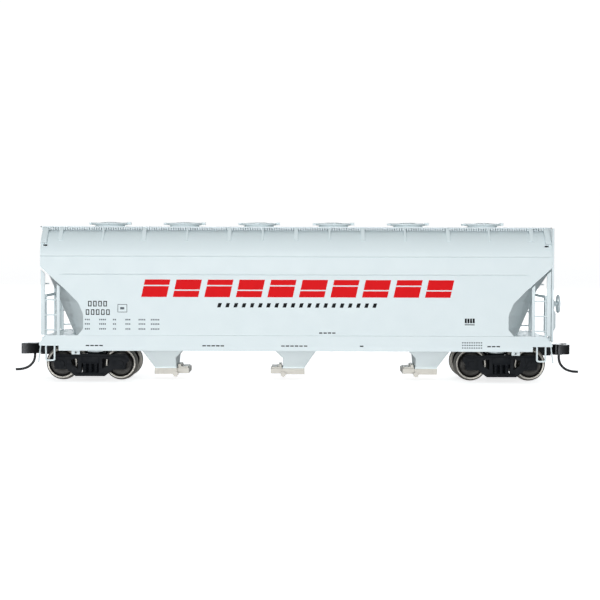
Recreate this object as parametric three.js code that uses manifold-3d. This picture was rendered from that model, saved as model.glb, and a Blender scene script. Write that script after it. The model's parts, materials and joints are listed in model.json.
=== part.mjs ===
// Three-bay covered hopper car in HO scale (1:87.1), in millimetres.
// The car runs along X with its brake wheel at the +X end, +Z is up, and the
// wheel flanges touch Z = 0 below the middle of the car.

import * as THREE from 'three';
import { mergeVertices } from 'three/addons/utils/BufferGeometryUtils.js';
import Module from 'manifold-3d';

// ---------------------------------------------------------------- driving dimensions

const GAP = 0.05; // assembly gap between pieces that rest on each other

const BODY = {
  halfLength: 87.6, halfWidth: 18.45, bottom: 16.25,
  shoulderZ: 43.4, shoulderR: 9.5, wall: 1,
  seams: [{ z: 43.4, from: -87.6, to: 87.6 }, { z: 37.2, from: -80, to: 79 }],
  seamHeight: 0.3, seamProud: 0.12,
};
const ROOF_TOP = BODY.shoulderZ + BODY.shoulderR;
const END_SLOT = { from: 85.2, to: 86.6, innerY: 16.5, outerY: 19, bottom: 46.75, top: 47.3 };

// The lower corners of the body are cut away over the trucks. The first outline is the
// cut edge in the side sheet, the second one the steep end slope sheet, as [x, z].
const CORNER_CUT = {
  side: [
    [87.9, 39.9], [78.4, 31.3], [74.6, 27.4], [72.9, 23.5],
    [72.9, 18.4], [74.8, 16.2], [74.8, 15], [87.9, 15]],
  slopeFoot: [78.6, 17.5], slopeHead: [87.0, 36.7],
  innerY: 5, innerTop: 38.76,
};

const SILL = {
  outerY: 18.65, innerY: 17.4, top: 16.2, bottom: 10.9, endBottom: 12.6,
  deepHalf: 81.3, cornerX: 85.3, cornerZ: 13.7, halfLength: 88,
};
const FLOOR = { bottom: 15.6, top: 17.2, halfX: 71.2, halfY: 17.2 };
const PLATFORM = { bottom: 15.3, from: 69, to: 86, chamfer: 3 };
const STUB_SILL = { halfY: 2.6, from: 58, to: 87, bottom: 12.5 };
const BOLSTER = {
  halfX: 2.4, bottom: 12.2, tipBottom: 13.8, top: 15.5, flatHalf: 6,
  bossR: 2.8, holeR: 1.15,
};
const END_FRAME = {
  sillFrom: 85.2, sillTo: 87.2,
  from: 85.6, to: 86.4, post: 0.8, outerY: 17.3, bar: 29.3, top: 30.2,
};
const JACKING_PAD = { from: 74.1, to: 76.9, innerY: 17.6, outerY: 18.4, bottom: 9.6, top: 11.2 };
const BALLAST = { halfX: 55, halfY: 13, thick: 3.2 };

const HATCH = {
  pitch: 26.4, count: 6,
  coamingR: 5.25, coamingTop: 54.3,
  lidR: 6.2, lidTop: 55.0, crownR: 2.2, crown: 55.35,
  strapHalfX: 7.4, strapHalfY: 0.7, latchFrom: 6.5, latchHalfY: 1.3,
};
const RUNNING_BOARD = { halfLength: 88.3, inner: 7.4, outer: 13.6, bottom: 53.25, top: 53.6, crosswalk: 5.4 };
const BRACKET = { wide: 1.4, narrow: 0.7, wideX: [0, 23, 52.3, 81], narrowX: [11.5, 37.5, 66.4] };

const BAY = { pitch: 46.5, top: FLOOR.bottom - GAP, sillZ: 10.9, kneeZ: 7.9, bottom: 4.05 };
const GATE = {
  top: 4, bottom: 2, away: 3.1, near: 4.7, halfY: 7.6, slideEnd: 8.9, leafTop: 4.45,
  shaftR: 0.55, shaftZ: 2.1, capstanR: 0.95,
};

const TRUCK = {
  centreX: 71.35, wheelbase: 20.4, axleZ: 5.9,
  plateIn: 11.7, plateOut: 13.2, windowIn: 11, windowOut: 14,
  bearingR: 3, swivelTop: 9.1,
};
const WHEEL = { back: 7.25, face: 10.05, flangeR: 5.9, treadR: 5.25, boreR: 0.85 };
const AXLE = { r: 0.8, halfLength: 12.6, coneFrom: 11.5, tipR: 0.2 };

const COUPLER = {
  z: 10.56, pivotX: 84, boxFrom: 81, boxTo: 90.2, boxHalfY: 3.3, boxBottom: 9.2, lidBottom: 8.55,
  screwHoleR: 0.6, countersink: { top: 9.25, topR: 0.51, bottom: 8.45, bottomR: 1.41 },
  knuckleX: 93.3, knuckleY: -1.9, faceX: 97.3,
};
const PIN_R = 0.375; // trip pin wire

const LADDER = { rungPitch: 5.15, lowestRung: 18, stile: 1.4, rung: 0.5, depth: 0.7 };
const BRAKE_WHEEL = { x: 92.2, y: -5.5, z: 27, r: 3.3, rim: 0.4 };

// ---------------------------------------------------------------- paints and materials

const finish = (color, roughness, metalness) => (
  new THREE.MeshStandardMaterial({ color, roughness, metalness }));
const bodyPaint = () => finish('#e0e8ec', 0.5, 0);
const outletPlastic = () => finish('#b4b2aa', 0.6, 0);
const truckPlastic = () => finish('#1c2023', 0.55, 0);
const blackenedMetal = () => finish('#17191a', 0.45, 0.6);
const wheelMetal = () => finish('#8f8a84', 0.35, 0.9);
const steel = () => finish('#9ea2a6', 0.35, 0.9);

// ---------------------------------------------------------------- solids

const wasm = await Module();
wasm.setup();

function signedVolume(geometry) {
  const p = geometry.attributes.position;
  const index = geometry.index.array;
  const [a, b, c] = [new THREE.Vector3(), new THREE.Vector3(), new THREE.Vector3()];
  let sum = 0;
  for (let i = 0; i < index.length; i += 3) {
    a.fromBufferAttribute(p, index[i]);
    b.fromBufferAttribute(p, index[i + 1]);
    c.fromBufferAttribute(p, index[i + 2]);
    sum += a.dot(b.cross(c));
  }
  return sum / 6;
}

// A closed three.js geometry as a solid, with its faces turned outwards.
function solid(geometry) {
  const bare = geometry.clone();
  bare.deleteAttribute('normal');
  bare.deleteAttribute('uv');
  const merged = mergeVertices(bare, 1e-5);
  const index = Uint32Array.from(merged.index.array);
  if (signedVolume(merged) < 0) {
    for (let i = 0; i < index.length; i += 3) [index[i], index[i + 1]] = [index[i + 1], index[i]];
  }
  const vertProperties = Float32Array.from(merged.attributes.position.array);
  return new wasm.Manifold(new wasm.Mesh({ numProp: 3, vertProperties, triVerts: index }));
}

function geometryOf(manifold) {
  const mesh = manifold.getMesh();
  const geometry = new THREE.BufferGeometry();
  geometry.setAttribute('position', new THREE.BufferAttribute(Float32Array.from(mesh.vertProperties), 3));
  geometry.setIndex(new THREE.BufferAttribute(Uint32Array.from(mesh.triVerts), 1));
  return geometry;
}

const join = (...solids) => solids.flat(Infinity).reduce((sum, piece) => sum.add(piece));
const cut = (piece, ...tools) => piece.subtract(join(tools));

// A box between two corners; each range may be given in either order.
function block([x0, x1], [y0, y1], [z0, z1]) {
  const geometry = new THREE.BoxGeometry(Math.abs(x1 - x0), Math.abs(y1 - y0), Math.abs(z1 - z0));
  geometry.translate((x0 + x1) / 2, (y0 + y1) / 2, (z0 + z1) / 2);
  return solid(geometry);
}

function extrude(points, depth, basis) {
  const shape = new THREE.Shape(points.map(([u, v]) => new THREE.Vector2(u, v)));
  const geometry = new THREE.ExtrudeGeometry(shape, { depth, bevelEnabled: false });
  return geometry.applyMatrix4(basis);
}

const UP = new THREE.Vector3(0, 0, 1);
const FORWARD = new THREE.Vector3(1, 0, 0);
const LEFT = new THREE.Vector3(0, 1, 0);
const ALONG_X = new THREE.Matrix4().makeBasis(LEFT, UP, FORWARD);
const ALONG_MINUS_Y = new THREE.Matrix4().makeBasis(FORWARD, UP, LEFT.clone().negate());

// Prisms: an outline of [y, z] along X, of [x, z] along Y and of [x, y] along Z.
const prismX = (points, x0, x1) => solid(extrude(points, x1 - x0, ALONG_X).translate(x0, 0, 0));
const prismY = (points, y0, y1) => solid(extrude(points, y1 - y0, ALONG_MINUS_Y).translate(0, y1, 0));
const prismZ = (points, z0, z1) => solid(extrude(points, z1 - z0, new THREE.Matrix4()).translate(0, 0, z0));

// A round bar with flat ends along an axis, from one place on it to another.
function rod(axis, radius, from, to, [a, b] = [0, 0], sides = 16) {
  const geometry = new THREE.CylinderGeometry(radius, radius, to - from, sides);
  geometry.translate(0, (from + to) / 2, 0);
  if (axis === 'x') return solid(geometry.rotateZ(-Math.PI / 2).translate(0, a, b));
  if (axis === 'z') return solid(geometry.rotateX(Math.PI / 2).translate(a, b, 0));
  return solid(geometry.translate(a, 0, b));
}

// An upright cone frustum with its wider end down.
function cone(bottomR, topR, from, to, [x, y], sides) {
  const geometry = new THREE.CylinderGeometry(topR, bottomR, to - from, sides);
  return solid(geometry.rotateX(Math.PI / 2).translate(x, y, (from + to) / 2));
}

// A turned piece about Y, from a closed profile of [radius, y].
function turned(profile, sides) {
  const points = [...profile, profile[0]].map(([r, y]) => new THREE.Vector2(r, y));
  return solid(new THREE.LatheGeometry(points, sides));
}

// A closed skin over rings of equally many points, with both ends closed.
function loft(rings) {
  const count = rings[0].length;
  const position = rings.flat(2);
  const index = [];
  for (let ring = 0; ring + 1 < rings.length; ring++) {
    for (let i = 0; i < count; i++) {
      const a = ring * count + i;
      const b = ring * count + ((i + 1) % count);
      index.push(a, b, a + count, b, b + count, a + count);
    }
  }
  const cap = (ring) => {
    const [origin, first] = [new THREE.Vector3(...rings[ring][0]), new THREE.Vector3(...rings[ring][1])];
    const normal = new THREE.Vector3();
    const corners = rings[ring].map((point) => new THREE.Vector3(...point));
    corners.forEach((p, i) => normal.add(p.clone().cross(corners[(i + 1) % count])));
    const u = first.sub(origin).normalize();
    const v = normal.normalize().clone().cross(u);
    const flat = corners.map((p) => new THREE.Vector2(p.dot(u), p.dot(v)));
    return THREE.ShapeUtils.triangulateShape(flat, []).map((face) => face.map((i) => i + ring * count));
  };
  cap(0).forEach(([a, b, c]) => index.push(a, c, b));
  cap(rings.length - 1).forEach(([a, b, c]) => index.push(a, b, c));
  const geometry = new THREE.BufferGeometry();
  geometry.setAttribute('position', new THREE.Float32BufferAttribute(position, 3));
  geometry.setIndex(index);
  return solid(geometry);
}

// A round wire along a smooth curve through the given points.
function wire(points, radius, steps, sides = 8) {
  const path = new THREE.CatmullRomCurve3(points.map((p) => new THREE.Vector3(...p)));
  const section = new THREE.Shape();
  for (let i = 0; i < sides; i++) {
    const angle = (2 * Math.PI * i) / sides;
    const [u, v] = [radius * Math.cos(angle), radius * Math.sin(angle)];
    if (i === 0) section.moveTo(u, v);
    else section.lineTo(u, v);
  }
  return solid(new THREE.ExtrudeGeometry(section, { steps, extrudePath: path, bevelEnabled: false }));
}

function part(name, manifold, material) {
  const mesh = new THREE.Mesh(geometryOf(manifold), material);
  mesh.name = name;
  return mesh;
}

const both = (make) => [make(-1), make(1)];

// The stretch between two distances from the centreline, on one side of the car.
const spanY = (side, near, far) => (side < 0 ? [-far, -near] : [near, far]);

// ---------------------------------------------------------------- body shell

// The car's cross-section as [y, z]: straight sides, round shoulders and a flat roof.
function section(inset) {
  const half = BODY.halfWidth - inset;
  const radius = BODY.shoulderR - inset;
  const centre = BODY.halfWidth - BODY.shoulderR;
  const floor = inset ? BODY.bottom - 1 : BODY.bottom;
  const points = [[-half, floor], [half, floor]];
  const steps = 6;
  for (let i = 0; i <= steps; i++) {
    const angle = (Math.PI / 2) * (i / steps);
    points.push([centre + radius * Math.cos(angle), BODY.shoulderZ + radius * Math.sin(angle)]);
  }
  for (let i = steps; i >= 0; i--) {
    const angle = (Math.PI / 2) * (i / steps);
    points.push([-centre - radius * Math.cos(angle), BODY.shoulderZ + radius * Math.sin(angle)]);
  }
  return points;
}

// The slope sheet of an end as the x that it has at a height.
function slopeX(z) {
  const [[x0, z0], [x1, z1]] = [CORNER_CUT.slopeFoot, CORNER_CUT.slopeHead];
  return x0 + ((z - z0) * (x1 - x0)) / (z1 - z0);
}

// Everything that is cut away below an end (+1 or -1): the space under the slope sheet, and
// both corners, which flare from the slope sheet out to the cut edge of the side sheets.
function endCut(end, inset) {
  const outer = CORNER_CUT.side[0][0];
  const sideRing = CORNER_CUT.side.map(([x, z]) => [x - inset, z + 0.3 * inset]);
  const slopeRing = CORNER_CUT.side.map(([x, z]) => [x === outer ? x - inset : slopeX(z) - inset, z]);
  slopeRing[0][1] = CORNER_CUT.innerTop;
  const innerY = CORNER_CUT.innerY - inset;
  const ring = (points, y) => points.map(([x, z]) => [end * x, y, z]);
  const corner = (side) => loft([
    ring(slopeRing, side * innerY),
    ring(sideRing, side * (BODY.halfWidth - inset)),
    ring(sideRing, side * (BODY.halfWidth + 2)),
  ]);
  const middle = prismY(slopeRing.map(([x, z]) => [end * x, z]), -innerY, innerY);
  return join(both(corner), middle);
}

function bodyShell() {
  const { halfLength, halfWidth, wall, seamHeight, seamProud } = BODY;
  const outside = cut(prismX(section(0), -halfLength, halfLength), both((end) => endCut(end, 0)));
  const cavity = cut(
    prismX(section(wall), wall - halfLength, halfLength - wall), both((end) => endCut(end, 1.3 * wall)));
  const seams = BODY.seams.map(({ z, from, to }) => both((side) => block(
    [from, to],
    [side * (halfWidth - 0.2), side * (halfWidth + seamProud)],
    [z - seamHeight / 2, z + seamHeight / 2])));
  const coamings = hatchPlaces().map(
    (x) => rod('z', HATCH.coamingR, ROOF_TOP - 0.5, HATCH.coamingTop, [x, 0], 24));
  const slots = both((end) => both((side) => block(
    [end * END_SLOT.from, end * END_SLOT.to],
    [side * END_SLOT.innerY, side * END_SLOT.outerY],
    [END_SLOT.bottom, END_SLOT.top])));
  return cut(join(cut(outside, cavity), seams, coamings, roofBrackets()), slots.flat());
}

function hatchPlaces() {
  return Array.from({ length: HATCH.count }, (_, i) => (i - (HATCH.count - 1) / 2) * HATCH.pitch);
}

// Straps that carry the running boards: each stands on the shoulder and leans in to the board.
function roofBrackets() {
  const top = RUNNING_BOARD.bottom - GAP;
  const outline = (side) => [[12.2, 51.9], [16.6, 48.6], [17.1, 48.9], [13.6, top], [12.2, top]]
    .map(([y, z]) => [side * y, z]);
  const row = (places, width) => places.flatMap((x) => (x ? [-x, x] : [0])).flatMap((x) => both(
    (side) => prismX(outline(side), x - width / 2, x + width / 2)));
  return [...row(BRACKET.wideX, BRACKET.wide), ...row(BRACKET.narrowX, BRACKET.narrow)];
}

// ---------------------------------------------------------------- underframe and ballast

function underframe() {
  const { outerY, innerY, top, bottom, endBottom, deepHalf, cornerX, cornerZ, halfLength } = SILL;
  const half = [
    [cornerX, top], [halfLength, cornerZ], [halfLength, endBottom], [deepHalf, endBottom], [deepHalf, bottom]];
  const outline = [...half, ...half.map(([x, z]) => [-x, z]).reverse()];
  const sills = both((side) => prismY(outline, ...spanY(side, innerY, outerY)));
  const floorX = [-FLOOR.halfX, FLOOR.halfX];
  const floor = block(floorX, [-FLOOR.halfY, FLOOR.halfY], [FLOOR.bottom, FLOOR.top]);
  const flange = block(floorX, [-innerY - 0.2, innerY + 0.2], [FLOOR.bottom, top]);
  return join(sills, floor, flange, both(endFraming));
}

// One end's platform with its corners cut, stub sill, bolster, end sill and corner posts.
function endFraming(end) {
  const { bottom, from, to, chamfer } = PLATFORM;
  const wide = SILL.innerY + 0.2;
  const corner = [[to - chamfer, wide], [to, wide - chamfer]];
  const half = [[from, wide], ...corner];
  const outline = [...half, ...half.map(([x, y]) => [x, -y]).reverse()];
  const platform = prismZ(outline.map(([x, y]) => [end * x, y]), bottom, SILL.top);
  const stubSill = block(
    [end * STUB_SILL.from, end * STUB_SILL.to],
    [-STUB_SILL.halfY, STUB_SILL.halfY],
    [STUB_SILL.bottom, FLOOR.bottom + 0.2]);
  const centreX = end * TRUCK.centreX;
  const underside = [[wide, BOLSTER.tipBottom], [BOLSTER.flatHalf, BOLSTER.bottom]];
  const bolster = prismX(
    [[wide, BOLSTER.top], ...underside, ...underside.map(([y, z]) => [-y, z]).reverse(), [-wide, BOLSTER.top]],
    centreX - BOLSTER.halfX, centreX + BOLSTER.halfX);
  const boss = rod('z', BOLSTER.bossR, TRUCK.swivelTop + 0.15, 12.6, [centreX, 0], 20);
  const screwHole = rod('z', BOLSTER.holeR, 9, 14.4, [centreX, 0], 12);
  const frame = END_FRAME;
  const frameX = [end * frame.from, end * frame.to];
  const endSill = block([end * frame.sillFrom, end * frame.sillTo], [-wide, wide], [SILL.endBottom, 15.6]);
  const posts = both((side) => block(
    frameX, [side * (frame.outerY - frame.post), side * frame.outerY], [15.6, frame.top]));
  const crossbar = block(frameX, [-frame.outerY, frame.outerY], [frame.bar, frame.top]);
  const jackingPads = both((side) => block(
    [end * JACKING_PAD.from, end * JACKING_PAD.to],
    [side * JACKING_PAD.innerY, side * JACKING_PAD.outerY],
    [JACKING_PAD.bottom, JACKING_PAD.top]));
  return cut(join(platform, stubSill, bolster, boss, endSill, posts, crossbar, jackingPads), screwHole);
}

function ballast() {
  const { halfX, halfY, thick } = BALLAST;
  return block([-halfX, halfX], [-halfY, halfY], [FLOOR.top + GAP, FLOOR.top + GAP + thick]);
}

// ---------------------------------------------------------------- bays and outlet gates

// Moulded funnel between the floor and its gate. Each ring holds the reach away from the
// slide, the reach towards it, the half width and the height; the slide side drops straight
// below its knee.
function hopperBay(x, towards) {
  const rings = [
    [2.9, 4.5, 6.9, BAY.bottom], [5.3, 4.6, 9.9, BAY.kneeZ],
    [7.3, 7.6, 12.4, BAY.sillZ], [10.6, 10.6, 16.4, BAY.top]];
  return loft(rings.map(([away, near, halfY, z]) => {
    const ends = [x - towards * away, x + towards * near].sort((a, b) => a - b);
    return [[ends[0], -halfY, z], [ends[1], -halfY, z], [ends[1], halfY, z], [ends[0], halfY, z]];
  }));
}

// Sliding gate under a bay; its slide runs out along X towards the given side.
function outletGate(x, towards) {
  const at = (u) => x + towards * u;
  const { top, bottom, away, near, halfY, slideEnd, leafTop, shaftR, shaftZ, capstanR } = GATE;
  const frame = block([at(-away), at(near)], [-halfY, halfY], [bottom, top]);
  const channel = block([at(near - 0.2), at(slideEnd)], [-6.6, 6.6], [2.2, top]);
  const gateLeaf = block([at(near + 0.2), at(slideEnd - 0.4)], [-5.4, 5.4], [top - 0.2, leafTop]);
  const stop = block([at(near + 0.3), at(near + 1.3)], [-5, 5], [leafTop - 0.2, leafTop + 0.8]);
  const shaftAt = [at(near - 0.3), shaftZ];
  const shaft = rod('y', shaftR, -8.9, 8.9, shaftAt, 12);
  const capstans = both((side) => rod('y', capstanR, ...spanY(side, 7.9, 8.9), shaftAt, 12));
  const locks = [-2.3, -0.8, 0.7, 2.2].flatMap((u) => both(
    (side) => block([at(u - 0.5), at(u + 0.5)], [side * (halfY - 0.1), side * (halfY + 0.4)], [2.4, 3.7])));
  return join(frame, channel, gateLeaf, stop, shaft, capstans, locks);
}

// ---------------------------------------------------------------- roof pieces

// Round lid with a raised crown, its hinge strap across and its latch at the +X rim.
function hatchCover(x) {
  const { coamingTop, lidR, lidTop, crownR, crown, strapHalfX, strapHalfY, latchFrom, latchHalfY } = HATCH;
  const rim = coamingTop + GAP;
  const profile = [
    [0, rim], [lidR, rim], [lidR, lidTop - 0.2], [lidR - 0.5, lidTop], [crownR, crown], [0, crown]];
  const geometry = new THREE.LatheGeometry(profile.map(([r, y]) => new THREE.Vector2(r, y)), 24);
  const lid = solid(geometry.rotateX(Math.PI / 2).translate(x, 0, 0));
  const strap = block(
    [x - strapHalfX, x + strapHalfX], [-strapHalfY, strapHalfY], [rim + 0.1, lidTop + 0.15]);
  const latch = block([x + latchFrom, x + strapHalfX], [-latchHalfY, latchHalfY], [rim, crown]);
  return join(lid, strap, latch);
}

// A long board beside the hatches, with the crosswalk of one end on it.
function runningBoard(side, end) {
  const { halfLength, inner, outer, bottom, top, crosswalk } = RUNNING_BOARD;
  const board = block([-halfLength, halfLength], [side * inner, side * outer], [bottom, top]);
  const across = block(
    [end * (halfLength - crosswalk), end * halfLength],
    [side * (inner + 0.5), -side * (inner - GAP)],
    [bottom, top]);
  return join(board, across);
}

// ---------------------------------------------------------------- ladders and steps

const rungHeights = (count) => Array.from(
  { length: count }, (_, i) => LADDER.lowestRung + i * LADDER.rungPitch);

// Short ladder in an end opening: two stiles that reach the slanting cut edge of the side
// sheet, with three rungs between them.
function sideLadder(side) {
  const { stile, depth, rung } = LADDER;
  const [inner, outer] = [BODY.halfWidth - depth, BODY.halfWidth];
  const foot = SILL.top + GAP;
  const posts = [{ x: 80.9, top: 32.8, wide: 1.1 }, { x: 86, top: 37.4, wide: stile }];
  const uprights = posts.map(({ x, top, wide }) => prismY(
    [[x, foot], [x + wide, foot], [x + wide, top + 0.88 * wide], [x, top]],
    ...spanY(side, inner, outer)));
  const middle = side * (inner + depth / 2);
  const rungs = rungHeights(3).map((z) => block(
    [81.4, 86.7], [middle - rung / 2, middle + rung / 2], [z - rung / 2, z + rung / 2]));
  return join(uprights, rungs);
}

// Tall ladder up the end beside the corner, from below the platform to the running boards.
function endLadder() {
  const { stile, depth, rung } = LADDER;
  const [x0, x1] = [BODY.halfLength + GAP, BODY.halfLength + GAP + depth];
  const uprights = [-18.45, -13.2].map(
    (y) => block([x0, x1], [y, y + stile], [14.2, RUNNING_BOARD.bottom - GAP]));
  const rungs = rungHeights(7).map((z) => block(
    [x0 + depth / 2 - rung / 2, x0 + depth / 2 + rung / 2], [-17.7, -12.5], [z - rung / 2, z + rung / 2]));
  return join(uprights, rungs);
}

// Foot step below the end sill: two legs and a tread.
function stirrup(side) {
  const y = [side * 17.75, side * 18.35];
  const legs = [[82.5, 83.1], [85.4, 86]].map((x) => block(x, y, [7.3, SILL.endBottom - GAP]));
  return join(legs, block([82.5, 86], y, [7.3, 7.9]));
}

// ---------------------------------------------------------------- brake gear

function brakeWheel() {
  const { x, y, z, r, rim } = BRAKE_WHEEL;
  const ring = new THREE.TorusGeometry(r - rim, rim, 6, 24).rotateY(Math.PI / 2).translate(x, y, z);
  const hub = rod('x', 0.75, x - 1.1, x + 0.35, [y, z], 12);
  const spokes = Array.from({ length: 5 }, (_, i) => {
    const spoke = new THREE.BoxGeometry(0.35, 0.5, r - rim).translate(0, 0, (r - rim) / 2);
    return solid(spoke.rotateX((2 * Math.PI * i) / 5).translate(x, y, z));
  });
  return join(solid(ring), hub, spokes);
}

function brakeHousing() {
  const { y, z } = BRAKE_WHEEL;
  const gearBox = block([88.3, 90.6], [y - 2.1, y + 2.1], [z - 2.2, z + 1.7]);
  const bell = rod('x', 1.5, 90.4, 91, [y, z], 16);
  const backPlate = block([87.75, 88.4], [y - 2.7, y + 3.4], [16.6, z + 2.6]);
  const chainGuard = block([88.3, 91.2], [y - 1.5, y + 1.5], [17, z - 2]);
  return join(gearBox, bell, backPlate, chainGuard);
}

// Cylinder along X hung below the floor by two straps.
function tank(x, y, radius, length, neck) {
  const z = FLOOR.bottom - GAP - 0.6 - radius;
  const shell = rod('x', radius, x - length / 2, x + length / 2, [y, z], 16);
  const heads = rod('x', radius * 0.6, x - length / 2 - neck, x + length / 2 + neck, [y, z], 12);
  const straps = [-0.3, 0.3].map((t) => block(
    [x + t * length - 0.4, x + t * length + 0.4], [y - 0.8, y + 0.8], [z, FLOOR.bottom - GAP]));
  return join(shell, heads, straps);
}

function controlValve() {
  const middle = block([21.6, 24.4], [-10.4, -7.8], [12.2, FLOOR.bottom - GAP]);
  const faces = both((side) => rod('y', 1.2, ...(side < 0 ? [-11.4, -10.2] : [-8, -6.8]), [23, 13.6], 12));
  return join(middle, faces);
}

// ---------------------------------------------------------------- trucks

const wheelPlaces = [-TRUCK.wheelbase / 2, TRUCK.wheelbase / 2];

// Cast side of a truck: outline and windows as [x, z] about the truck's centre.
function sideFrame(side) {
  const { plateIn, plateOut, windowIn, windowOut } = TRUCK;
  const half = [
    [2.2, 9.4], [7.6, 9.1], [8.6, 9.3], [12.4, 9.3], [13.4, 8.2], [13.4, 6.9], [12.6, 6.4], [12.3, 4.2],
    [8.1, 4.2], [7.4, 3.4], [5.1, 1.7]];
  const outline = [...half, ...half.map(([x, z]) => [-x, z]).reverse()];
  const plate = prismY(outline, ...spanY(side, plateIn, plateOut));
  const springWindow = block([-3, 3], [side * windowIn, side * windowOut], [2.6, 6.1]);
  const sideWindows = both((s) => prismY(
    [[4.2, 4.2], [6.3, 5.6], [6.7, 7.4], [4.2, 7.8]].map(([x, z]) => [s * x, z]),
    ...spanY(side, windowIn, windowOut)));
  const boxes = wheelPlaces.map((x) => block([x - 1.9, x + 1.9], [side * 10.9, side * 13.5], [4.1, 8.3]));
  const caps = wheelPlaces.map((x) => rod('y', 1.45, ...spanY(side, 13.3, 14.05), [x, TRUCK.axleZ], 12));
  const bores = wheelPlaces.map((x) => rod('y', 1.1, ...spanY(side, 10.5, 12.85), [x, TRUCK.axleZ], 12));
  const springs = [-1.9, 0, 1.9].map((x) => rod('z', 0.75, 2.4, 6.3, [x, side * 12.5], 8));
  const lip = prismY([[-5.1, 1.7], [5.1, 1.7], [5.1, 2.4], [-5.1, 2.4]], ...spanY(side, 11.3, 13.7));
  return cut(join(cut(plate, springWindow, sideWindows), boxes, caps, springs, lip), bores);
}

function truckFrame() {
  const bolster = block([-2.6, 2.6], [-12.9, 12.9], [5.9, 8.6]);
  const bearing = rod('z', TRUCK.bearingR, 8.4, TRUCK.swivelTop, [0, 0], 20);
  const hole = rod('z', 1.3, 5, 10, [0, 0], 12);
  const recess = rod('z', 2.3, 5, 7.1, [0, 0], 16);
  return cut(join(both(sideFrame), bolster, bearing), hole, recess);
}

// Pan-head screw up through the bolster, on which the truck swivels.
function truckScrew() {
  return join(rod('z', 2, 5.95, 7.0, [0, 0], 12), rod('z', 1, 6.9, 13.9, [0, 0], 10));
}

function axle() {
  const { r, halfLength, coneFrom, tipR } = AXLE;
  const half = [[r, coneFrom], [tipR, halfLength], [0, halfLength]];
  const profile = [...half.map(([x, y]) => [x, -y]).reverse(), ...half];
  return solid(new THREE.LatheGeometry(profile.map(([x, y]) => new THREE.Vector2(x, y)), 12));
}

function wheel(side) {
  const { back, face, flangeR, treadR, boreR } = WHEEL;
  const profile = [
    [boreR, 7.6], [4.3, 7.6], [4.6, back], [flangeR, 7.4], [treadR + 0.13, 8.05], [treadR - 0.05, face],
    [4.5, face], [4.2, 9.2], [1.9, 9.2], [1.7, 9.7], [boreR, 9.7]];
  return turned(profile.map(([r, y]) => [r, side * y]), 20);
}

// A truck as a group about its swivel axis: frame, two axles and four wheels.
function truck(letter, centreX) {
  const group = new THREE.Group();
  group.position.x = centreX;
  group.add(part(`truck_frame_${letter}`, truckFrame(), truckPlastic()));
  group.add(part(`truck_screw_${letter}`, truckScrew(), steel()));
  wheelPlaces.forEach((x, i) => {
    const set = new THREE.Group();
    set.position.set(x, 0, TRUCK.axleZ);
    set.add(part(`axle_${letter}${i + 1}`, axle(), blackenedMetal()));
    set.add(part(`wheel_${letter}${i + 1}_near`, wheel(-1), wheelMetal()));
    set.add(part(`wheel_${letter}${i + 1}_far`, wheel(1), wheelMetal()));
    group.add(set);
  });
  return group;
}

// ---------------------------------------------------------------- couplers

// Draft box that is open in front, with the post that the shank turns on.
function couplerBox() {
  const { pivotX, boxFrom, boxTo, boxHalfY, boxBottom, screwHoleR } = COUPLER;
  const hull = block([boxFrom, boxTo], [-boxHalfY, boxHalfY], [boxBottom, STUB_SILL.bottom - GAP]);
  const hollow = block([boxFrom + 0.7, boxTo + 1], [-boxHalfY + 0.55, boxHalfY - 0.55], [9, 11.7]);
  const post = rod('z', 0.95, boxBottom, 11.9, [pivotX, 0], 12);
  const screwHole = rod('z', screwHoleR, 9, 11.8, [pivotX, 0], 10);
  return cut(join(cut(hull, hollow), post), screwHole);
}

// Flat lid under the box, countersunk for its screw.
function couplerLid() {
  const { pivotX, boxFrom, boxTo, boxHalfY, boxBottom, lidBottom, screwHoleR, countersink } = COUPLER;
  const plate = block([boxFrom, boxTo], [-boxHalfY, boxHalfY], [lidBottom, boxBottom - GAP]);
  const { bottomR, topR, bottom, top } = countersink;
  const hole = rod('z', screwHoleR, 8, 10, [pivotX, 0], 16);
  return cut(plate, hole, cone(bottomR, topR, bottom, top, [pivotX, 0], 16));
}

// Countersunk screw whose head lies just inside the lid's face.
function couplerScrew() {
  const at = [COUPLER.pivotX, 0];
  return join(cone(1.22, 0.5, COUPLER.lidBottom + 0.02, 9.2, at, 16), rod('z', 0.5, 9.1, 11.6, at, 16));
}

// Shank and head in one casting; the guard arm faces the knuckle across the mouth.
function couplerShank() {
  const { z, pivotX, knuckleX, knuckleY } = COUPLER;
  const [low, high] = [z - 0.65, z + 0.65];
  const eye = rod('z', 1.9, low, high, [pivotX, 0], 16);
  const bar = block([pivotX, 91.4], [-1, 1], [low, high]);
  const outline = [
    [90.9, -1.1], [91.9, -3], [93.2, -3.1], [94.1, 0.9], [94.3, 2.2], [95.9, 3.1], [97.1, 3.4], [96.9, 4.1],
    [95.2, 4.1], [92.4, 2.7], [90.9, 1.1]];
  const head = prismZ(outline, 8.75, 12.45);
  const socket = rod('z', 1.5, 8, 13, [knuckleX, knuckleY], 16);
  const hole = rod('z', 1.15, low - 1, high + 1, [pivotX, 0], 12);
  return cut(join(eye, bar, head), socket, hole);
}

// Knuckle with its barrel on the pivot and its nose across the mouth.
function knuckle() {
  const { knuckleX, knuckleY, faceX } = COUPLER;
  const barrel = rod('z', 1.25, 8.8, 12.4, [knuckleX, knuckleY], 14);
  const outline = [
    [93.3, -3.1], [95.6, -3.1], [96.9, -2.3], [faceX, -0.9], [faceX - 0.1, 0.3], [96.3, 0.7], [95.7, 0.2],
    [95.5, -1.1], [94.3, -1.5], [93.6, -1.0]];
  return join(barrel, prismZ(outline, 8.9, 12.3));
}

// Magnetic trip pin: it drops from the knuckle and curls forward like an air hose.
function tripPin() {
  const { knuckleX: x, knuckleY: y } = COUPLER;
  const route = [[0, 8.75], [0, 7.2], [0.5, 5.4], [2.2, 3.6], [4.6, 2.8], [6.9, 2.7]];
  return wire(route.map(([ahead, z]) => [x + ahead, y, z]), PIN_R, 14);
}

// ---------------------------------------------------------------- assembly

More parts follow.
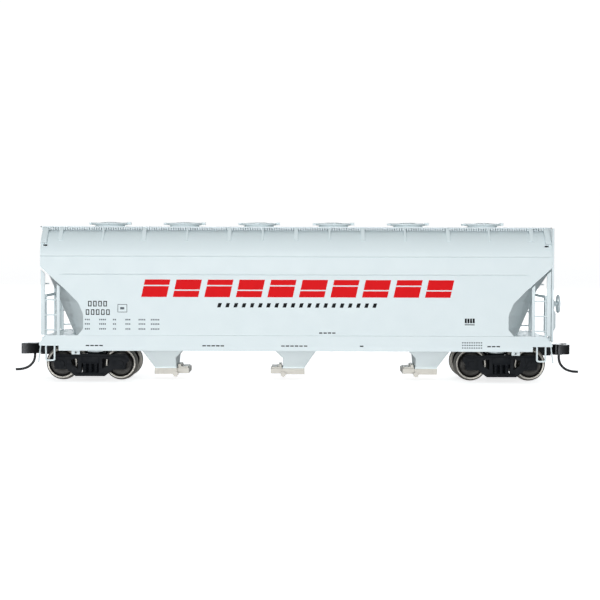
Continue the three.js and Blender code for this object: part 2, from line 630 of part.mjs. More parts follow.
const car = new THREE.Group();
car.add(part('body_shell', bodyShell(), bodyPaint()));
car.add(part('underframe', underframe(), bodyPaint()));
car.add(part('ballast_weight', ballast(), steel()));

const bays = [{ x: -BAY.pitch, slide: 1 }, { x: 0, slide: -1 }, { x: BAY.pitch, slide: -1 }];
bays.forEach(({ x, slide }, i) => {
  car.add(part(`hopper_bay_${i + 1}`, hopperBay(x, slide), bodyPaint()));
  car.add(part(`outlet_gate_${i + 1}`, outletGate(x, slide), outletPlastic()));
});

hatchPlaces().forEach((x, i) => car.add(part(`hatch_cover_${i + 1}`, hatchCover(x), bodyPaint())));
car.add(part('running_board_near', runningBoard(-1, -1), bodyPaint()));
car.add(part('running_board_far', runningBoard(1, 1), bodyPaint()));

car.add(part('brake_wheel', brakeWheel(), bodyPaint()));
car.add(part('brake_housing', brakeHousing(), bodyPaint()));
car.add(part('air_reservoir', tank(23, 9, 1.9, 9, 0.5), bodyPaint()));
car.add(part('brake_cylinder', tank(-23, -8, 1.7, 5.6, 0.7), bodyPaint()));
car.add(part('control_valve', controlValve(), bodyPaint()));

// Both ends carry the same pieces, the A end turned half round.
for (const [letter, turn] of [['a', Math.PI], ['b', 0]]) {
  const end = new THREE.Group();
  end.rotation.z = turn;
  end.add(part(`end_ladder_${letter}`, endLadder(), bodyPaint()));
  for (const [hand, side] of [['left', -1], ['right', 1]]) {
    end.add(part(`side_ladder_${letter}_${hand}`, sideLadder(side), bodyPaint()));
    end.add(part(`stirrup_step_${letter}_${hand}`, stirrup(side), bodyPaint()));
  }
  end.add(part(`coupler_box_${letter}`, couplerBox(), truckPlastic()));
  end.add(part(`coupler_lid_${letter}`, couplerLid(), truckPlastic()));
  end.add(part(`coupler_screw_${letter}`, couplerScrew(), steel()));
  end.add(part(`coupler_shank_${letter}`, couplerShank(), blackenedMetal()));
  end.add(part(`knuckle_${letter}`, knuckle(), blackenedMetal()));
  end.add(part(`trip_pin_${letter}`, tripPin(), blackenedMetal()));
  car.add(end);
}
car.add(truck('a', -TRUCK.centreX));
car.add(truck('b', TRUCK.centreX));

export default car;
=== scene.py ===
"""Looks of an HO scale three-bay covered hopper car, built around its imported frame.

Lengths in the classes are millimetres in the car's own frame: +X along the car towards the
brake wheel, +Y across it and +Z up. Meshes are made in metres.
"""
import json
import logging
import math
from collections.abc import Iterable, Sequence
from dataclasses import dataclass
from enum import Enum

import bmesh
import bpy
from mathutils import Matrix, Vector

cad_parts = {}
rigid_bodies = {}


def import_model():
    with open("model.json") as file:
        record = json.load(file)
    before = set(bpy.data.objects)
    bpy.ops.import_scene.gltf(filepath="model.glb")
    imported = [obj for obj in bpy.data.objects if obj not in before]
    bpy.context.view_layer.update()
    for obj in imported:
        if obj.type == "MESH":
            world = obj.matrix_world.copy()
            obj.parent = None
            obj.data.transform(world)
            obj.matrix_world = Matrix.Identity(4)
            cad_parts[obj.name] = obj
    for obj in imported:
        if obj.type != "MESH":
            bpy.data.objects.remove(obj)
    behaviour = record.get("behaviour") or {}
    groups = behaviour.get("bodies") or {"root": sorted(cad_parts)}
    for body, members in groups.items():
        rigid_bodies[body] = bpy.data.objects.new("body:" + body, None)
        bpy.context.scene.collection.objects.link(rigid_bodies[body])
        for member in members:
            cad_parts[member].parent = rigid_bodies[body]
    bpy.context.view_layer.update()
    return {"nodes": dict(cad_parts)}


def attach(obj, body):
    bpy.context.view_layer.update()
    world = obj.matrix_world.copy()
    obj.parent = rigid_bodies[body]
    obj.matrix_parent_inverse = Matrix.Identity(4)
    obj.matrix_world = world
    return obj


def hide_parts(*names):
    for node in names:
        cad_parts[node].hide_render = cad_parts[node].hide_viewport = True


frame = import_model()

log = logging.getLogger("hopper_car")

MM = 0.001
Point = Sequence[float]
Outline = Sequence[Sequence[float]]
Piece = bpy.types.Object

BODY = "car_body"
ENDS = {"a": -1, "b": 1}
SIDES = {"near": -1, "far": 1}


class Axis(Enum):
    """The three directions that a prism or a rod may run along."""

    X = 0
    Y = 1
    Z = 2


# ------------------------------------------------------------------ small tools


def linear(hex_colour: str) -> tuple[float, float, float, float]:
    """Turns an sRGB hex colour into linear RGBA.

    Args:
        hex_colour: Colour such as "#e0e8ec".

    Returns:
        Linear red, green, blue and alpha.
    """
    parts = [int(hex_colour[i : i + 2], 16) / 255 for i in (1, 3, 5)]
    red, green, blue = (p / 12.92 if p <= 0.04045 else ((p + 0.055) / 1.055) ** 2.4 for p in parts)
    return red, green, blue, 1.0


def add_node(
    tree: bpy.types.NodeTree, kind: str, settings: dict | None = None, inputs: dict | None = None
) -> bpy.types.Node:
    """Adds one node, sets it up and links it.

    Args:
        tree: Node tree that gets the node.
        kind: Blender's name of the node type.
        settings: Values of the node's own properties.
        inputs: Input by name or number, as a value or as the socket to link from.

    Returns:
        The new node.
    """
    node = tree.nodes.new(kind)
    for name, value in (settings or {}).items():
        setattr(node, name, value)
    for key, value in (inputs or {}).items():
        if isinstance(value, bpy.types.NodeSocket):
            tree.links.new(value, node.inputs[key])
        else:
            node.inputs[key].default_value = value
    return node


def mirrored(outline: Outline) -> list[Sequence[float]]:
    """Closes a right-hand half outline with its mirror image.

    Args:
        outline: Points of the half with positive first values, in order.

    Returns:
        The whole outline.
    """
    return [*outline, *[(-u, v) for u, v in reversed(outline)]]


def arc(centre: Point, radius: float, start: float, stop: float, steps: int) -> list[tuple[float, float]]:
    """Points on an arc.

    Args:
        centre: Its centre in the outline's own plane.
        radius: Its radius.
        start: First angle in degrees.
        stop: Last angle in degrees.
        steps: Number of straight steps between them.

    Returns:
        steps + 1 points.
    """
    angles = (math.radians(start + (stop - start) * i / steps) for i in range(steps + 1))
    return [(centre[0] + radius * math.cos(a), centre[1] + radius * math.sin(a)) for a in angles]


def circle(radius: float, sides: int) -> list[tuple[float, float]]:
    """Corners of a regular outline about its own origin."""
    angles = (2 * math.pi * i / sides for i in range(sides))
    return [(radius * math.cos(a), radius * math.sin(a)) for a in angles]


def bent(points: Sequence[Point], bend: float, steps: int = 4) -> list[Vector]:
    """Rounds the inner corners of an open line.

    Args:
        points: Corners of the line, in two or three dimensions.
        bend: Length of each bend along the straight stretches beside it.
        steps: Steps of each bend.

    Returns:
        Points of the rounded line.
    """
    corners = [Vector(p) for p in points]
    path = [corners[0]]
    for before, corner, after in zip(corners, corners[1:], corners[2:]):
        reach = min(bend, (corner - before).length / 2.1, (after - corner).length / 2.1)
        start = corner + (before - corner).normalized() * reach
        stop = corner + (after - corner).normalized() * reach
        for i in range(steps + 1):
            t = i / steps
            path.append(start * (1 - t) ** 2 + corner * 2 * t * (1 - t) + stop * t * t)
    path.append(corners[-1])
    return path


# ------------------------------------------------------------------ meshes


class Form:
    """A mesh under construction, in millimetres, made of closed shapes."""

    def __init__(self) -> None:
        """Starts an empty form."""
        self.bm = bmesh.new()

    def _bevel(self, faces: Iterable[bmesh.types.BMFace], width: float, segments: int) -> None:
        """Rounds the edges between the given faces."""
        if width <= 0:
            return
        self.bm.normal_update()
        sharp = math.radians(20)
        edges = {edge for face in faces for edge in face.edges if edge.calc_face_angle(0) > sharp}
        bmesh.ops.bevel(
            self.bm, geom=list(edges), offset=width, segments=segments, profile=0.5, affect="EDGES",
            clamp_overlap=True)

    def loft(
        self, rings: Sequence[Sequence[Point]], bevel: float = 0, segments: int = 2, ends: bool = True
    ) -> "Form":
        """Adds a closed skin over rings of equally many points.

        Args:
            rings: Rings of points, from one end to the other.
            bevel: Radius that rounds its sharp edges.
            segments: Steps of that rounding.
            ends: Whether flat faces close its ends; without them the last ring joins the first.

        Returns:
            The form itself.
        """
        rows = [[self.bm.verts.new(point) for point in ring] for ring in rings]
        faces = []
        for low, high in zip(rows, rows[1:] + ([] if ends else rows[:1])):
            for i, corner in enumerate(low):
                j = (i + 1) % len(low)
                faces.append(self.bm.faces.new((corner, low[j], high[j], high[i])))
        if ends:
            faces.append(self.bm.faces.new(rows[0][::-1]))
            faces.append(self.bm.faces.new(rows[-1]))
        bmesh.ops.recalc_face_normals(self.bm, faces=faces)
        self._bevel(faces, bevel, segments)
        return self

    def box(self, low: Point, high: Point, bevel: float = 0.08, segments: int = 2) -> "Form":
        """Adds a block between two corners, with rounded edges."""
        corners = [(low[0], low[1]), (high[0], low[1]), (high[0], high[1]), (low[0], high[1])]
        return self.loft([[(x, y, z) for x, y in corners] for z in (low[2], high[2])], bevel, segments)

    def prism(
        self, axis: Axis, outline: Outline, start: float, stop: float, bevel: float = 0.08, segments: int = 2
    ) -> "Form":
        """Adds an outline drawn out along an axis.

        Args:
            axis: Direction that it runs along.
            outline: Points in the plane across the axis, in the order of the other two axes.
            start: Where it starts on the axis.
            stop: Where it ends.
            bevel: Radius that rounds its sharp edges.
            segments: Steps of that rounding.

        Returns:
            The form itself.
        """
        def lift(u: float, v: float, w: float) -> tuple[float, float, float]:
            return {Axis.X: (w, u, v), Axis.Y: (u, w, v), Axis.Z: (u, v, w)}[axis]

        return self.loft([[lift(u, v, w) for u, v in outline] for w in (start, stop)], bevel, segments)

    def turned(self, axis: Axis, centre: Point, profile: Outline, sides: int = 32) -> "Form":
        """Adds a turned shape about a line along an axis.

        Args:
            axis: Direction of its axis.
            centre: Where the axis is, as a point.
            profile: Closed or open outline of (radius, place along the axis); zero radii close it.
            sides: Faces round the shape.

        Returns:
            The form itself.
        """
        across, up = {Axis.X: (1, 2), Axis.Y: (0, 2), Axis.Z: (0, 1)}[axis]

        def ring(radius: float, along: float) -> list[list[float]]:
            points = []
            for u, v in circle(radius, sides):
                point = list(centre)
                point[across] += u
                point[up] += v
                point[axis.value] += along
                points.append(point)
            return points

        solid_end = profile[0][0] < 1e-6
        rings = [ring(max(radius, 0.0), along) for radius, along in profile]
        count = len(self.bm.verts)
        self.loft(rings, ends=solid_end)
        if solid_end:
            self.bm.verts.ensure_lookup_table()
            fresh = self.bm.verts[count:]
            bmesh.ops.remove_doubles(self.bm, verts=fresh, dist=1e-5)
        return self

    def rod(self, start: Point, stop: Point, radius: float, sides: int = 16, bevel: float = 0.05) -> "Form":
        """Adds a straight round bar with softly rounded ends."""
        a, b = Vector(start), Vector(stop)
        turn = (b - a).to_track_quat("Z", "X").to_matrix()
        length = (b - a).length
        edge = min(bevel, radius * 0.6)
        stations = [(radius - edge, 0), (radius, edge), (radius, length - edge), (radius - edge, length)]
        return self.loft([
            [a + turn @ Vector((u, v, along)) for u, v in circle(r, sides)] for r, along in stations])

    def wire(self, points: Sequence[Point], radius: float, bend: float = 0.6) -> "Form":
        """Adds a bent wire whose corners are rounded.

        Args:
            points: Corners of its centreline.
            radius: Radius of the wire.
            bend: Length of each bend along the straight stretches beside it.

        Returns:
            The form itself.
        """
        return self.tube(bent(points, bend), radius)

    def tube(self, path: Sequence[Vector], radius: float, sides: int = 8) -> "Form":
        """Adds a round tube of closed ends along a smooth path."""
        ahead = [*path[1:], path[-1]]
        behind = [path[0], *path[:-1]]
        tangents = [(b - a).normalized() for a, b in zip(behind, ahead)]
        side = tangents[0].orthogonal().normalized()
        rings = []
        for place, tangent in zip(path, tangents):
            side = (side - tangent * side.dot(tangent)).normalized()
            up = tangent.cross(side)
            rings.append([place + side * u + up * v for u, v in circle(radius, sides)])
        return self.loft(rings)

    def piece(self, name: str, material: bpy.types.Material, sharp: float = 35) -> Piece:
        """Turns the form into an object in metres.

        Args:
            name: Name of the object.
            material: Its finish.
            sharp: Angle in degrees from which an edge is shaded sharp.

        Returns:
            The new object.
        """
        bmesh.ops.scale(self.bm, vec=(MM, MM, MM), verts=self.bm.verts)
        mesh = bpy.data.meshes.new(name)
        self.bm.to_mesh(mesh)
        self.bm.free()
        return linked(name, mesh, material, sharp)


def linked(name: str, mesh: bpy.types.Mesh, material: bpy.types.Material, sharp: float = 35) -> Piece:
    """Puts a mesh into the scene with one material and smooth shading up to an angle."""
    mesh.materials.clear()
    mesh.materials.append(material)
    mesh.shade_smooth()
    mesh.set_sharp_from_angle(angle=math.radians(sharp))
    piece = bpy.data.objects.new(name, mesh)
    bpy.context.scene.collection.objects.link(piece)
    return piece


def settle(piece: Piece) -> Piece:
    """Replaces a piece's live modifiers by the mesh that they make."""
    depsgraph = bpy.context.evaluated_depsgraph_get()
    evaluated = piece.evaluated_get(depsgraph)
    mesh = bpy.data.meshes.new_from_object(evaluated, preserve_all_data_layers=True, depsgraph=depsgraph)
    piece.modifiers.clear()
    piece.data = mesh
    return piece


def rounded(piece: Piece, width: float, segments: int = 3, angle: float = 32) -> Piece:
    """Rounds a piece's sharp edges.

    Args:
        piece: Piece to round.
        width: Width of the rounding in millimetres.
        segments: Steps of the rounding.
        angle: Edges sharper than this many degrees are rounded.

    Returns:
        The same piece with a new mesh.
    """
    bevel = piece.modifiers.new("rounding", "BEVEL")
    bevel.width = width * MM
    bevel.segments = segments
    bevel.limit_method = "ANGLE"
    bevel.angle_limit = math.radians(angle)
    bevel.use_clamp_overlap = True
    weigh = piece.modifiers.new("flat faces stay flat", "WEIGHTED_NORMAL")
    weigh.keep_sharp = True
    settle(piece)
    return piece


def refined(node: str, width: float, material: bpy.types.Material, segments: int = 2) -> Piece:
    """Makes a merged copy of a CAD node with rounded edges.

    Args:
        node: CAD node to copy.
        width: Width of the rounding in millimetres.
        material: Finish of the copy.
        segments: Steps of the rounding.

    Returns:
        The copy, which isn't placed on a body yet.
    """
    bm = bmesh.new()
    bm.from_mesh(frame["nodes"][node].data)
    bmesh.ops.remove_doubles(bm, verts=bm.verts, dist=2e-6)
    bmesh.ops.dissolve_limit(bm, angle_limit=math.radians(0.8), verts=bm.verts, edges=bm.edges)
    mesh = bpy.data.meshes.new(f"{node}_skin")
    bm.to_mesh(mesh)
    bm.free()
    piece = linked(f"{node}_skin", mesh, material, 50)
    return rounded(piece, width, segments)


def carved(piece: Piece, tools: Sequence[Piece]) -> Piece:
    """Cuts other closed pieces out of a piece and removes them.

    Args:
        piece: Piece that is kept.
        tools: Pieces that cut it.

    Returns:
        The same piece with a new mesh.
    """
    for tool in tools:
        step = piece.modifiers.new("cut", "BOOLEAN")
        step.operation = "DIFFERENCE"
        step.solver = "EXACT"
        step.object = tool
    settle(piece)
    for tool in tools:
        discard(tool)
    return piece


def discard(piece: Piece) -> None:
    """Removes a helper piece and its mesh."""
    mesh = piece.data
    bpy.data.objects.remove(piece)
    bpy.data.meshes.remove(mesh)


def joined(name: str, pieces: Sequence[Piece], sharp: float = 35) -> Piece:
    """Makes one piece of several that share their finish.

    Args:
        name: Name of the new piece.
        pieces: Pieces to put together; they are removed.
        sharp: Angle in degrees from which an edge is shaded sharp.

    Returns:
        The new piece.
    """
    bm = bmesh.new()
    for piece in pieces:
        bm.from_mesh(piece.data)
    mesh = bpy.data.meshes.new(name)
    bm.to_mesh(mesh)
    bm.free()
    material = pieces[0].data.materials[0]
    for piece in pieces:
        discard(piece)
    return linked(name, mesh, material, sharp)


class CopiesTree:
    """Geometry Nodes that set copies of one pattern along a row or round a ring."""

    INPUTS = {
        "Pattern": "NodeSocketObject", "Count": "NodeSocketInt", "Start": "NodeSocketVector",
        "Step": "NodeSocketVector", "Turn": "NodeSocketVector", "Finish": "NodeSocketMaterial"}

    def __init__(self) -> None:
        """Builds the tree with its named inputs."""
        tree = bpy.data.node_groups.new("row_of_copies", "GeometryNodeTree")
        tree.interface.new_socket(name="Geometry", in_out="OUTPUT", socket_type="NodeSocketGeometry")
        self.keys = {
            name: tree.interface.new_socket(name=name, in_out="INPUT", socket_type=kind).identifier
            for name, kind in self.INPUTS.items()}
        given = add_node(tree, "NodeGroupInput").outputs
        points = add_node(tree, "GeometryNodeMeshLine", {"mode": "OFFSET"}, {
            "Count": given["Count"], "Start Location": given["Start"], "Offset": given["Step"]})
        pattern = add_node(tree, "GeometryNodeObjectInfo", {}, {"Object": given["Pattern"]})
        number = add_node(tree, "GeometryNodeInputIndex")
        turn = add_node(tree, "ShaderNodeVectorMath", {"operation": "SCALE"}, {
            0: given["Turn"], "Scale": number.outputs[0]})
        copies = add_node(tree, "GeometryNodeInstanceOnPoints", {}, {
            "Points": points.outputs["Mesh"], "Instance": pattern.outputs["Geometry"],
            "Rotation": turn.outputs[0]})
        real = add_node(tree, "GeometryNodeRealizeInstances", {}, {0: copies.outputs[0]})
        dressed = add_node(tree, "GeometryNodeSetMaterial", {}, {
            "Geometry": real.outputs[0], "Material": given["Finish"]})
        add_node(tree, "NodeGroupOutput", {}, {0: dressed.outputs[0]})
        self.tree = tree

    def grow(
        self, name: str, pattern: Form, material: bpy.types.Material, count: int,
        start: Point = (0, 0, 0), step: Point = (0, 0, 0), turn: Point = (0, 0, 0)) -> Piece:
        """Makes a piece of copies of a pattern.

        Args:
            name: Name of the piece.
            pattern: Form that is repeated, about its own origin.
            material: Finish of the copies.
            count: Number of copies.
            start: Place of the first copy in millimetres.
            step: Way from one copy to the next.
            turn: Turn from one copy to the next in degrees about X, Y and Z.

        Returns:
            One plain piece.
        """
        model = pattern.piece(f"{name}_pattern", material)
        piece = bpy.data.objects.new(name, bpy.data.meshes.new(name))
        bpy.context.scene.collection.objects.link(piece)
        grower = piece.modifiers.new("copies", "NODES")
        grower.node_group = self.tree
        values = {
            "Pattern": model, "Count": count, "Start": [v * MM for v in start],
            "Step": [v * MM for v in step], "Turn": [math.radians(v) for v in turn], "Finish": material}
        for key, value in values.items():
            grower[self.keys[key]] = value
        settle(piece)
        discard(model)
        piece.data.set_sharp_from_angle(angle=math.radians(35))
        return piece


# ------------------------------------------------------------------ finishes


class Slot(Enum):
    """Material slots of the record."""

    BODY = "body_paint"
    OUTLET = "outlet_plastic"
    BLACK = "black_plastic"
    COUPLER = "coupler_casting"
    PIN = "trip_pin_wire"
    AXLE = "axle_steel"
    WHEEL = "wheel_metal"
    SCREW = "screw_steel"
    BALLAST = "ballast_steel"
    ETCHED = "etched_metal"


@dataclass(frozen=True)
class Finish:
    """A surface: its two close tones, its gloss and its grain.

    The tones differ by patches of patch_mm, and the grain of grain_mm stands grain_depth_mm
    high. Both are worked out from real sizes.
    """

    name: str
    colour: str
    tone: str
    roughness: float
    patch_mm: float = 7.0
    grain_mm: float = 0.35
    grain_depth_mm: float = 0.006
    gloss_spread: float = 0.06
    metallic: float = 0.0
    specular: float = 0.5

    def noise(
        self, tree: bpy.types.NodeTree, size_mm: float, detail: float = 2, rough: float = 0.5
    ) -> bpy.types.Node:
        """Adds noise whose patches have a real size on the object."""
        place = add_node(tree, "ShaderNodeTexCoord")
        return add_node(tree, "ShaderNodeTexNoise", {}, {
            "Vector": place.outputs["Object"], "Scale": 1 / (size_mm * MM), "Detail": detail,
            "Roughness": rough})

    def colours(self, tree: bpy.types.NodeTree) -> bpy.types.NodeSocket:
        """Mixes the two tones in soft patches."""
        patches = self.noise(tree, self.patch_mm)
        mix = add_node(tree, "ShaderNodeMix", {"data_type": "RGBA"}, {
            0: patches.outputs["Fac"], 6: linear(self.colour), 7: linear(self.tone)})
        return mix.outputs[2]

    def height(self, tree: bpy.types.NodeTree) -> bpy.types.NodeSocket:
        """Gives the grain as a height from 0 to 1."""
        return self.noise(tree, self.grain_mm, 3).outputs["Fac"]

    def gloss(self, tree: bpy.types.NodeTree) -> bpy.types.NodeSocket:
        """Varies the roughness a little over the surface."""
        patches = self.noise(tree, self.patch_mm * 0.4, 3)
        spread = add_node(tree, "ShaderNodeMapRange", {}, {
            "Value": patches.outputs["Fac"], "From Min": 0.25, "From Max": 0.75,
            "To Min": self.roughness - self.gloss_spread, "To Max": self.roughness + self.gloss_spread})
        return spread.outputs[0]

    def shader(self, tree: bpy.types.NodeTree) -> bpy.types.Node:
        """Adds the surface shader with everything that this finish has."""
        bump = add_node(tree, "ShaderNodeBump", {}, {
            "Strength": 1.0, "Distance": self.grain_depth_mm * MM, "Height": self.height(tree)})
        return add_node(tree, "ShaderNodeBsdfPrincipled", {}, {
            "Base Color": self.colours(tree), "Roughness": self.gloss(tree), "Metallic": self.metallic,
            "Specular IOR Level": self.specular, "Normal": bump.outputs[0]})

    def material(self) -> bpy.types.Material:
        """Builds the material."""
        made = bpy.data.materials.new(self.name)
        made.use_nodes = True
        made.node_tree.nodes.clear()
        shader = self.shader(made.node_tree)
        add_node(made.node_tree, "ShaderNodeOutputMaterial", {}, {0: shader.outputs[0]})
        return made


@dataclass(frozen=True)
class SprayedPaint(Finish):
    """Satin paint on moulded plastic: orange peel, and painted shade, a darker grey-green tone, on what faces
    up.
    """

    up_shade_colour: str = "#c9cfcb"
    up_shade_share: float = 0.12

    def colours(self, tree: bpy.types.NodeTree) -> bpy.types.NodeSocket:
        """Lays a thin painted shade, a darker grey-green tone, over the paint where the surface faces up."""
        facing = add_node(tree, "ShaderNodeNewGeometry")
        height = add_node(tree, "ShaderNodeSeparateXYZ", {}, {0: facing.outputs["Normal"]})
        # Painted shade: the more a face looks up, the more of the darker tone it takes, in mottled specks.
        shade_mottle = self.noise(tree, 0.9, 4, 0.7)
        share = add_node(tree, "ShaderNodeMath", {"operation": "MULTIPLY", "use_clamp": True}, {
            0: height.outputs["Z"], 1: shade_mottle.outputs["Fac"]})
        thin = add_node(tree, "ShaderNodeMath", {"operation": "MULTIPLY"}, {
            0: share.outputs[0], 1: 2 * self.up_shade_share})
        mix = add_node(tree, "ShaderNodeMix", {"data_type": "RGBA"}, {
            0: thin.outputs[0], 6: super().colours(tree), 7: linear(self.up_shade_colour)})
        return mix.outputs[2]


@dataclass(frozen=True)
class TurnedMetal(Finish):
    """Metal off the lathe: fine rings round the axis, whose distance is kept on the mesh."""

    ring_mm: float = 0.16
    bright: str = "#8b8882"

    def height(self, tree: bpy.types.NodeTree) -> bpy.types.NodeSocket:
        """Cuts rings by the distance from the axis."""
        radius = add_node(tree, "ShaderNodeAttribute", {"attribute_name": "turn_radius"})
        rings = add_node(tree, "ShaderNodeMath", {"operation": "MULTIPLY"}, {
            0: radius.outputs["Fac"], 1: 2 * math.pi / self.ring_mm})
        wave = add_node(tree, "ShaderNodeMath", {"operation": "SINE"}, {0: rings.outputs[0]})
        return wave.outputs[0]

    def colours(self, tree: bpy.types.NodeTree) -> bpy.types.NodeSocket:
        """Leaves the tread bright, where wheels are polished by the rails, and paints a highlight on the
        outer ring of the rim face, which also lies past tread_r.
        """
        # Bright metal on the tread, and a painted highlight on the rim face ring, both from one mask.
        radius = add_node(tree, "ShaderNodeAttribute", {"attribute_name": "tread"})
        mix = add_node(tree, "ShaderNodeMix", {"data_type": "RGBA"}, {
            0: radius.outputs["Fac"], 6: super().colours(tree), 7: linear(self.bright)})
        return mix.outputs[2]


@dataclass(frozen=True)
class LitTable(Finish):
    """Frosted white acrylic that is faintly lit from behind, for the studio floor."""

    glow: float = 0.3

    def shader(self, tree: bpy.types.NodeTree) -> bpy.types.Node:
        """Adds the glow to the plain surface."""
        surface = super().shader(tree)
        surface.inputs["Emission Color"].default_value = linear(self.colour)
        surface.inputs["Emission Strength"].default_value = self.glow
        surface.inputs["Specular IOR Level"].default_value = 0.1
        return surface


FINISHES: dict[Slot, Finish] = {
    # Acrylic sprayed over styrene: soft sheen, pale blue-grey, with painted shade on what faces up.
    Slot.BODY: SprayedPaint(
        "satin_acrylic_paint", "#e0eaec", "#dce7ea", 0.45, grain_depth_mm=0.003, specular=0.35),
    # Bare moulded ABS, spark-eroded mould face: matt and warm grey.
    Slot.OUTLET: Finish(
        "moulded_grey_abs", "#c9c6be", "#bcb9b1", 0.55, patch_mm=3.0, grain_mm=0.14, grain_depth_mm=0.008),
    # Acetal resin: nearly black and matt, with only a faint sheen.
    Slot.BLACK: Finish(
        "moulded_black_acetal", "#0d1218", "#0a0e13", 0.6, patch_mm=2.5, grain_mm=0.12,
        grain_depth_mm=0.010, gloss_spread=0.08, specular=0.16),
    # Zinc die casting with a chemical black: slightly rough, dull metal.
    Slot.COUPLER: Finish(
        "blackened_zinc_casting", "#1b1c1e", "#26272a", 0.38, patch_mm=1.2, grain_mm=0.1,
        grain_depth_mm=0.010, gloss_spread=0.08, metallic=0.55),
    # Drawn iron wire and turned axle steel, both chemically blackened.
    Slot.PIN: Finish(
        "blackened_iron_wire", "#1c1d20", "#242528", 0.35, patch_mm=1.0, grain_mm=0.08,
        grain_depth_mm=0.004, gloss_spread=0.08, metallic=0.6),
    Slot.AXLE: Finish(
        "blackened_axle_steel", "#34343a", "#2a2a2e", 0.32, patch_mm=1.5, grain_mm=0.1,
        grain_depth_mm=0.003, gloss_spread=0.05, metallic=0.85),
    # Plated brass wheels, darkened on the face and bright where they run, with a painted highlight on the
    # outer ring of the rim face.
    Slot.WHEEL: TurnedMetal(
        "turned_plated_brass", "#2c2b29", "#232221", 0.42, patch_mm=2.0, grain_mm=0.1,
        grain_depth_mm=0.004, gloss_spread=0.07, metallic=0.8),
    # Bright plated screws, and the bare rolled steel of the weight.
    Slot.SCREW: Finish(
        "plated_screw_steel", "#a9adb1", "#96999d", 0.3, patch_mm=1.0, grain_mm=0.08,
        grain_depth_mm=0.003, gloss_spread=0.05, metallic=1.0),
    Slot.BALLAST: Finish(
        "rolled_ballast_steel", "#8d9093", "#7b7e81", 0.45, patch_mm=5.0, grain_mm=0.3,
        grain_depth_mm=0.005, gloss_spread=0.08, metallic=1.0),
    # Etched nickel silver under the same paint: smoother than the plastic, with the same painted shade on
    # what faces up.
    Slot.ETCHED: SprayedPaint(
        "painted_etched_metal", "#dde6ea", "#d6e0e4", 0.4, patch_mm=4.0, grain_mm=0.25,
        grain_depth_mm=0.002),
}


def ink(name: str, colour: str, tone: str, patch_mm: float = 1.5) -> Finish:
    """Makes a pad-printed ink, which has no slot of its own and rides on the painted sides."""
    return Finish(
        name, colour, tone, 0.6, patch_mm=patch_mm, grain_mm=0.12, grain_depth_mm=0.003, specular=0.1)


RED_INK = ink("red_printing_ink", "#e60f17", "#da0e16", 2.0)
BLACK_INK = ink("black_printing_ink", "#121316", "#1c1e21")
GREY_INK = ink("grey_printing_ink", "#6c747a", "#60686e")


class FinishShelf:
    """Hands out each material, made once."""

    def __init__(self) -> None:
        """Starts with no material made."""
        self.made: dict[str, bpy.types.Material] = {}

    def of(self, finish: Finish) -> bpy.types.Material:
        """Gives the material of a finish."""
        if finish.name not in self.made:
            self.made[finish.name] = finish.material()
        return self.made[finish.name]

    def __getitem__(self, slot: Slot) -> bpy.types.Material:
        """Gives the material of a slot."""
        return self.of(FINISHES[slot])


@dataclass
class SubAssembly:
    """Pieces of the car that are built and dressed together."""

    shelf: FinishShelf
    copies: CopiesTree

    def put(self, piece: Piece, slot: Slot, *nodes: str, body: str = BODY) -> Piece:
        """Fastens a finished piece to its body.

        Args:
            piece: Piece in its place.
            slot: Record slot of the piece's finish; not used.
            nodes: CAD nodes that it stands for.
            body: CAD body that it moves with.

        Returns:
            The same piece.
        """
        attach(piece, body)
        if nodes:
            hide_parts(*nodes)
        log.info("%s on %s, %d faces", piece.name, body, len(piece.data.polygons))
        return piece

    def skin(self, form: Form, node: str, slot: Slot = Slot.BODY, body: str = BODY) -> Piece:
        """Puts a form in the place of a CAD node."""
        return self.put(form.piece(f"{node}_skin", self.shelf[slot]), slot, node, body=body)

    def extra(self, form: Form, name: str, slot: Slot = Slot.BODY, body: str = BODY) -> Piece:
        """Puts in a form that is too small for a CAD node of its own."""
        return self.put(form.piece(name, self.shelf[slot]), slot, body=body)

    def softened(
        self, node: str, width: float, slot: Slot = Slot.BODY, body: str = BODY, segments: int = 2
    ) -> Piece:
        """Puts a copy of a CAD node with rounded edges in its place.

        Args:
            node: CAD node to copy.
            width: Width of the rounding in millimetres.
            slot: Record slot of the node.
            body: CAD body that it moves with.
            segments: Steps of the rounding.

        Returns:
            The copy.
        """
        return self.put(refined(node, width, self.shelf[slot], segments), slot, node, body=body)

    def row(
        self, name: str, pattern: Form, count: int, start: Point, step: Point, slot: Slot = Slot.BODY
    ) -> Piece:
        """Makes a row of copies of a pattern in the finish of a slot.

        Args:
            name: Name of the piece.
            pattern: Form that is repeated, about its own origin.
            count: Number of copies.
            start: Place of the first copy in millimetres.
            step: Way from one copy to the next.
            slot: Record slot whose finish the copies have.

        Returns:
            The row, which isn't placed on a body yet.
        """
        return self.copies.grow(name, pattern, self.shelf[slot], count, start, step)

    def build(self) -> None:
        """Makes every piece of the sub-assembly."""
        raise NotImplementedError


# ------------------------------------------------------------------ body


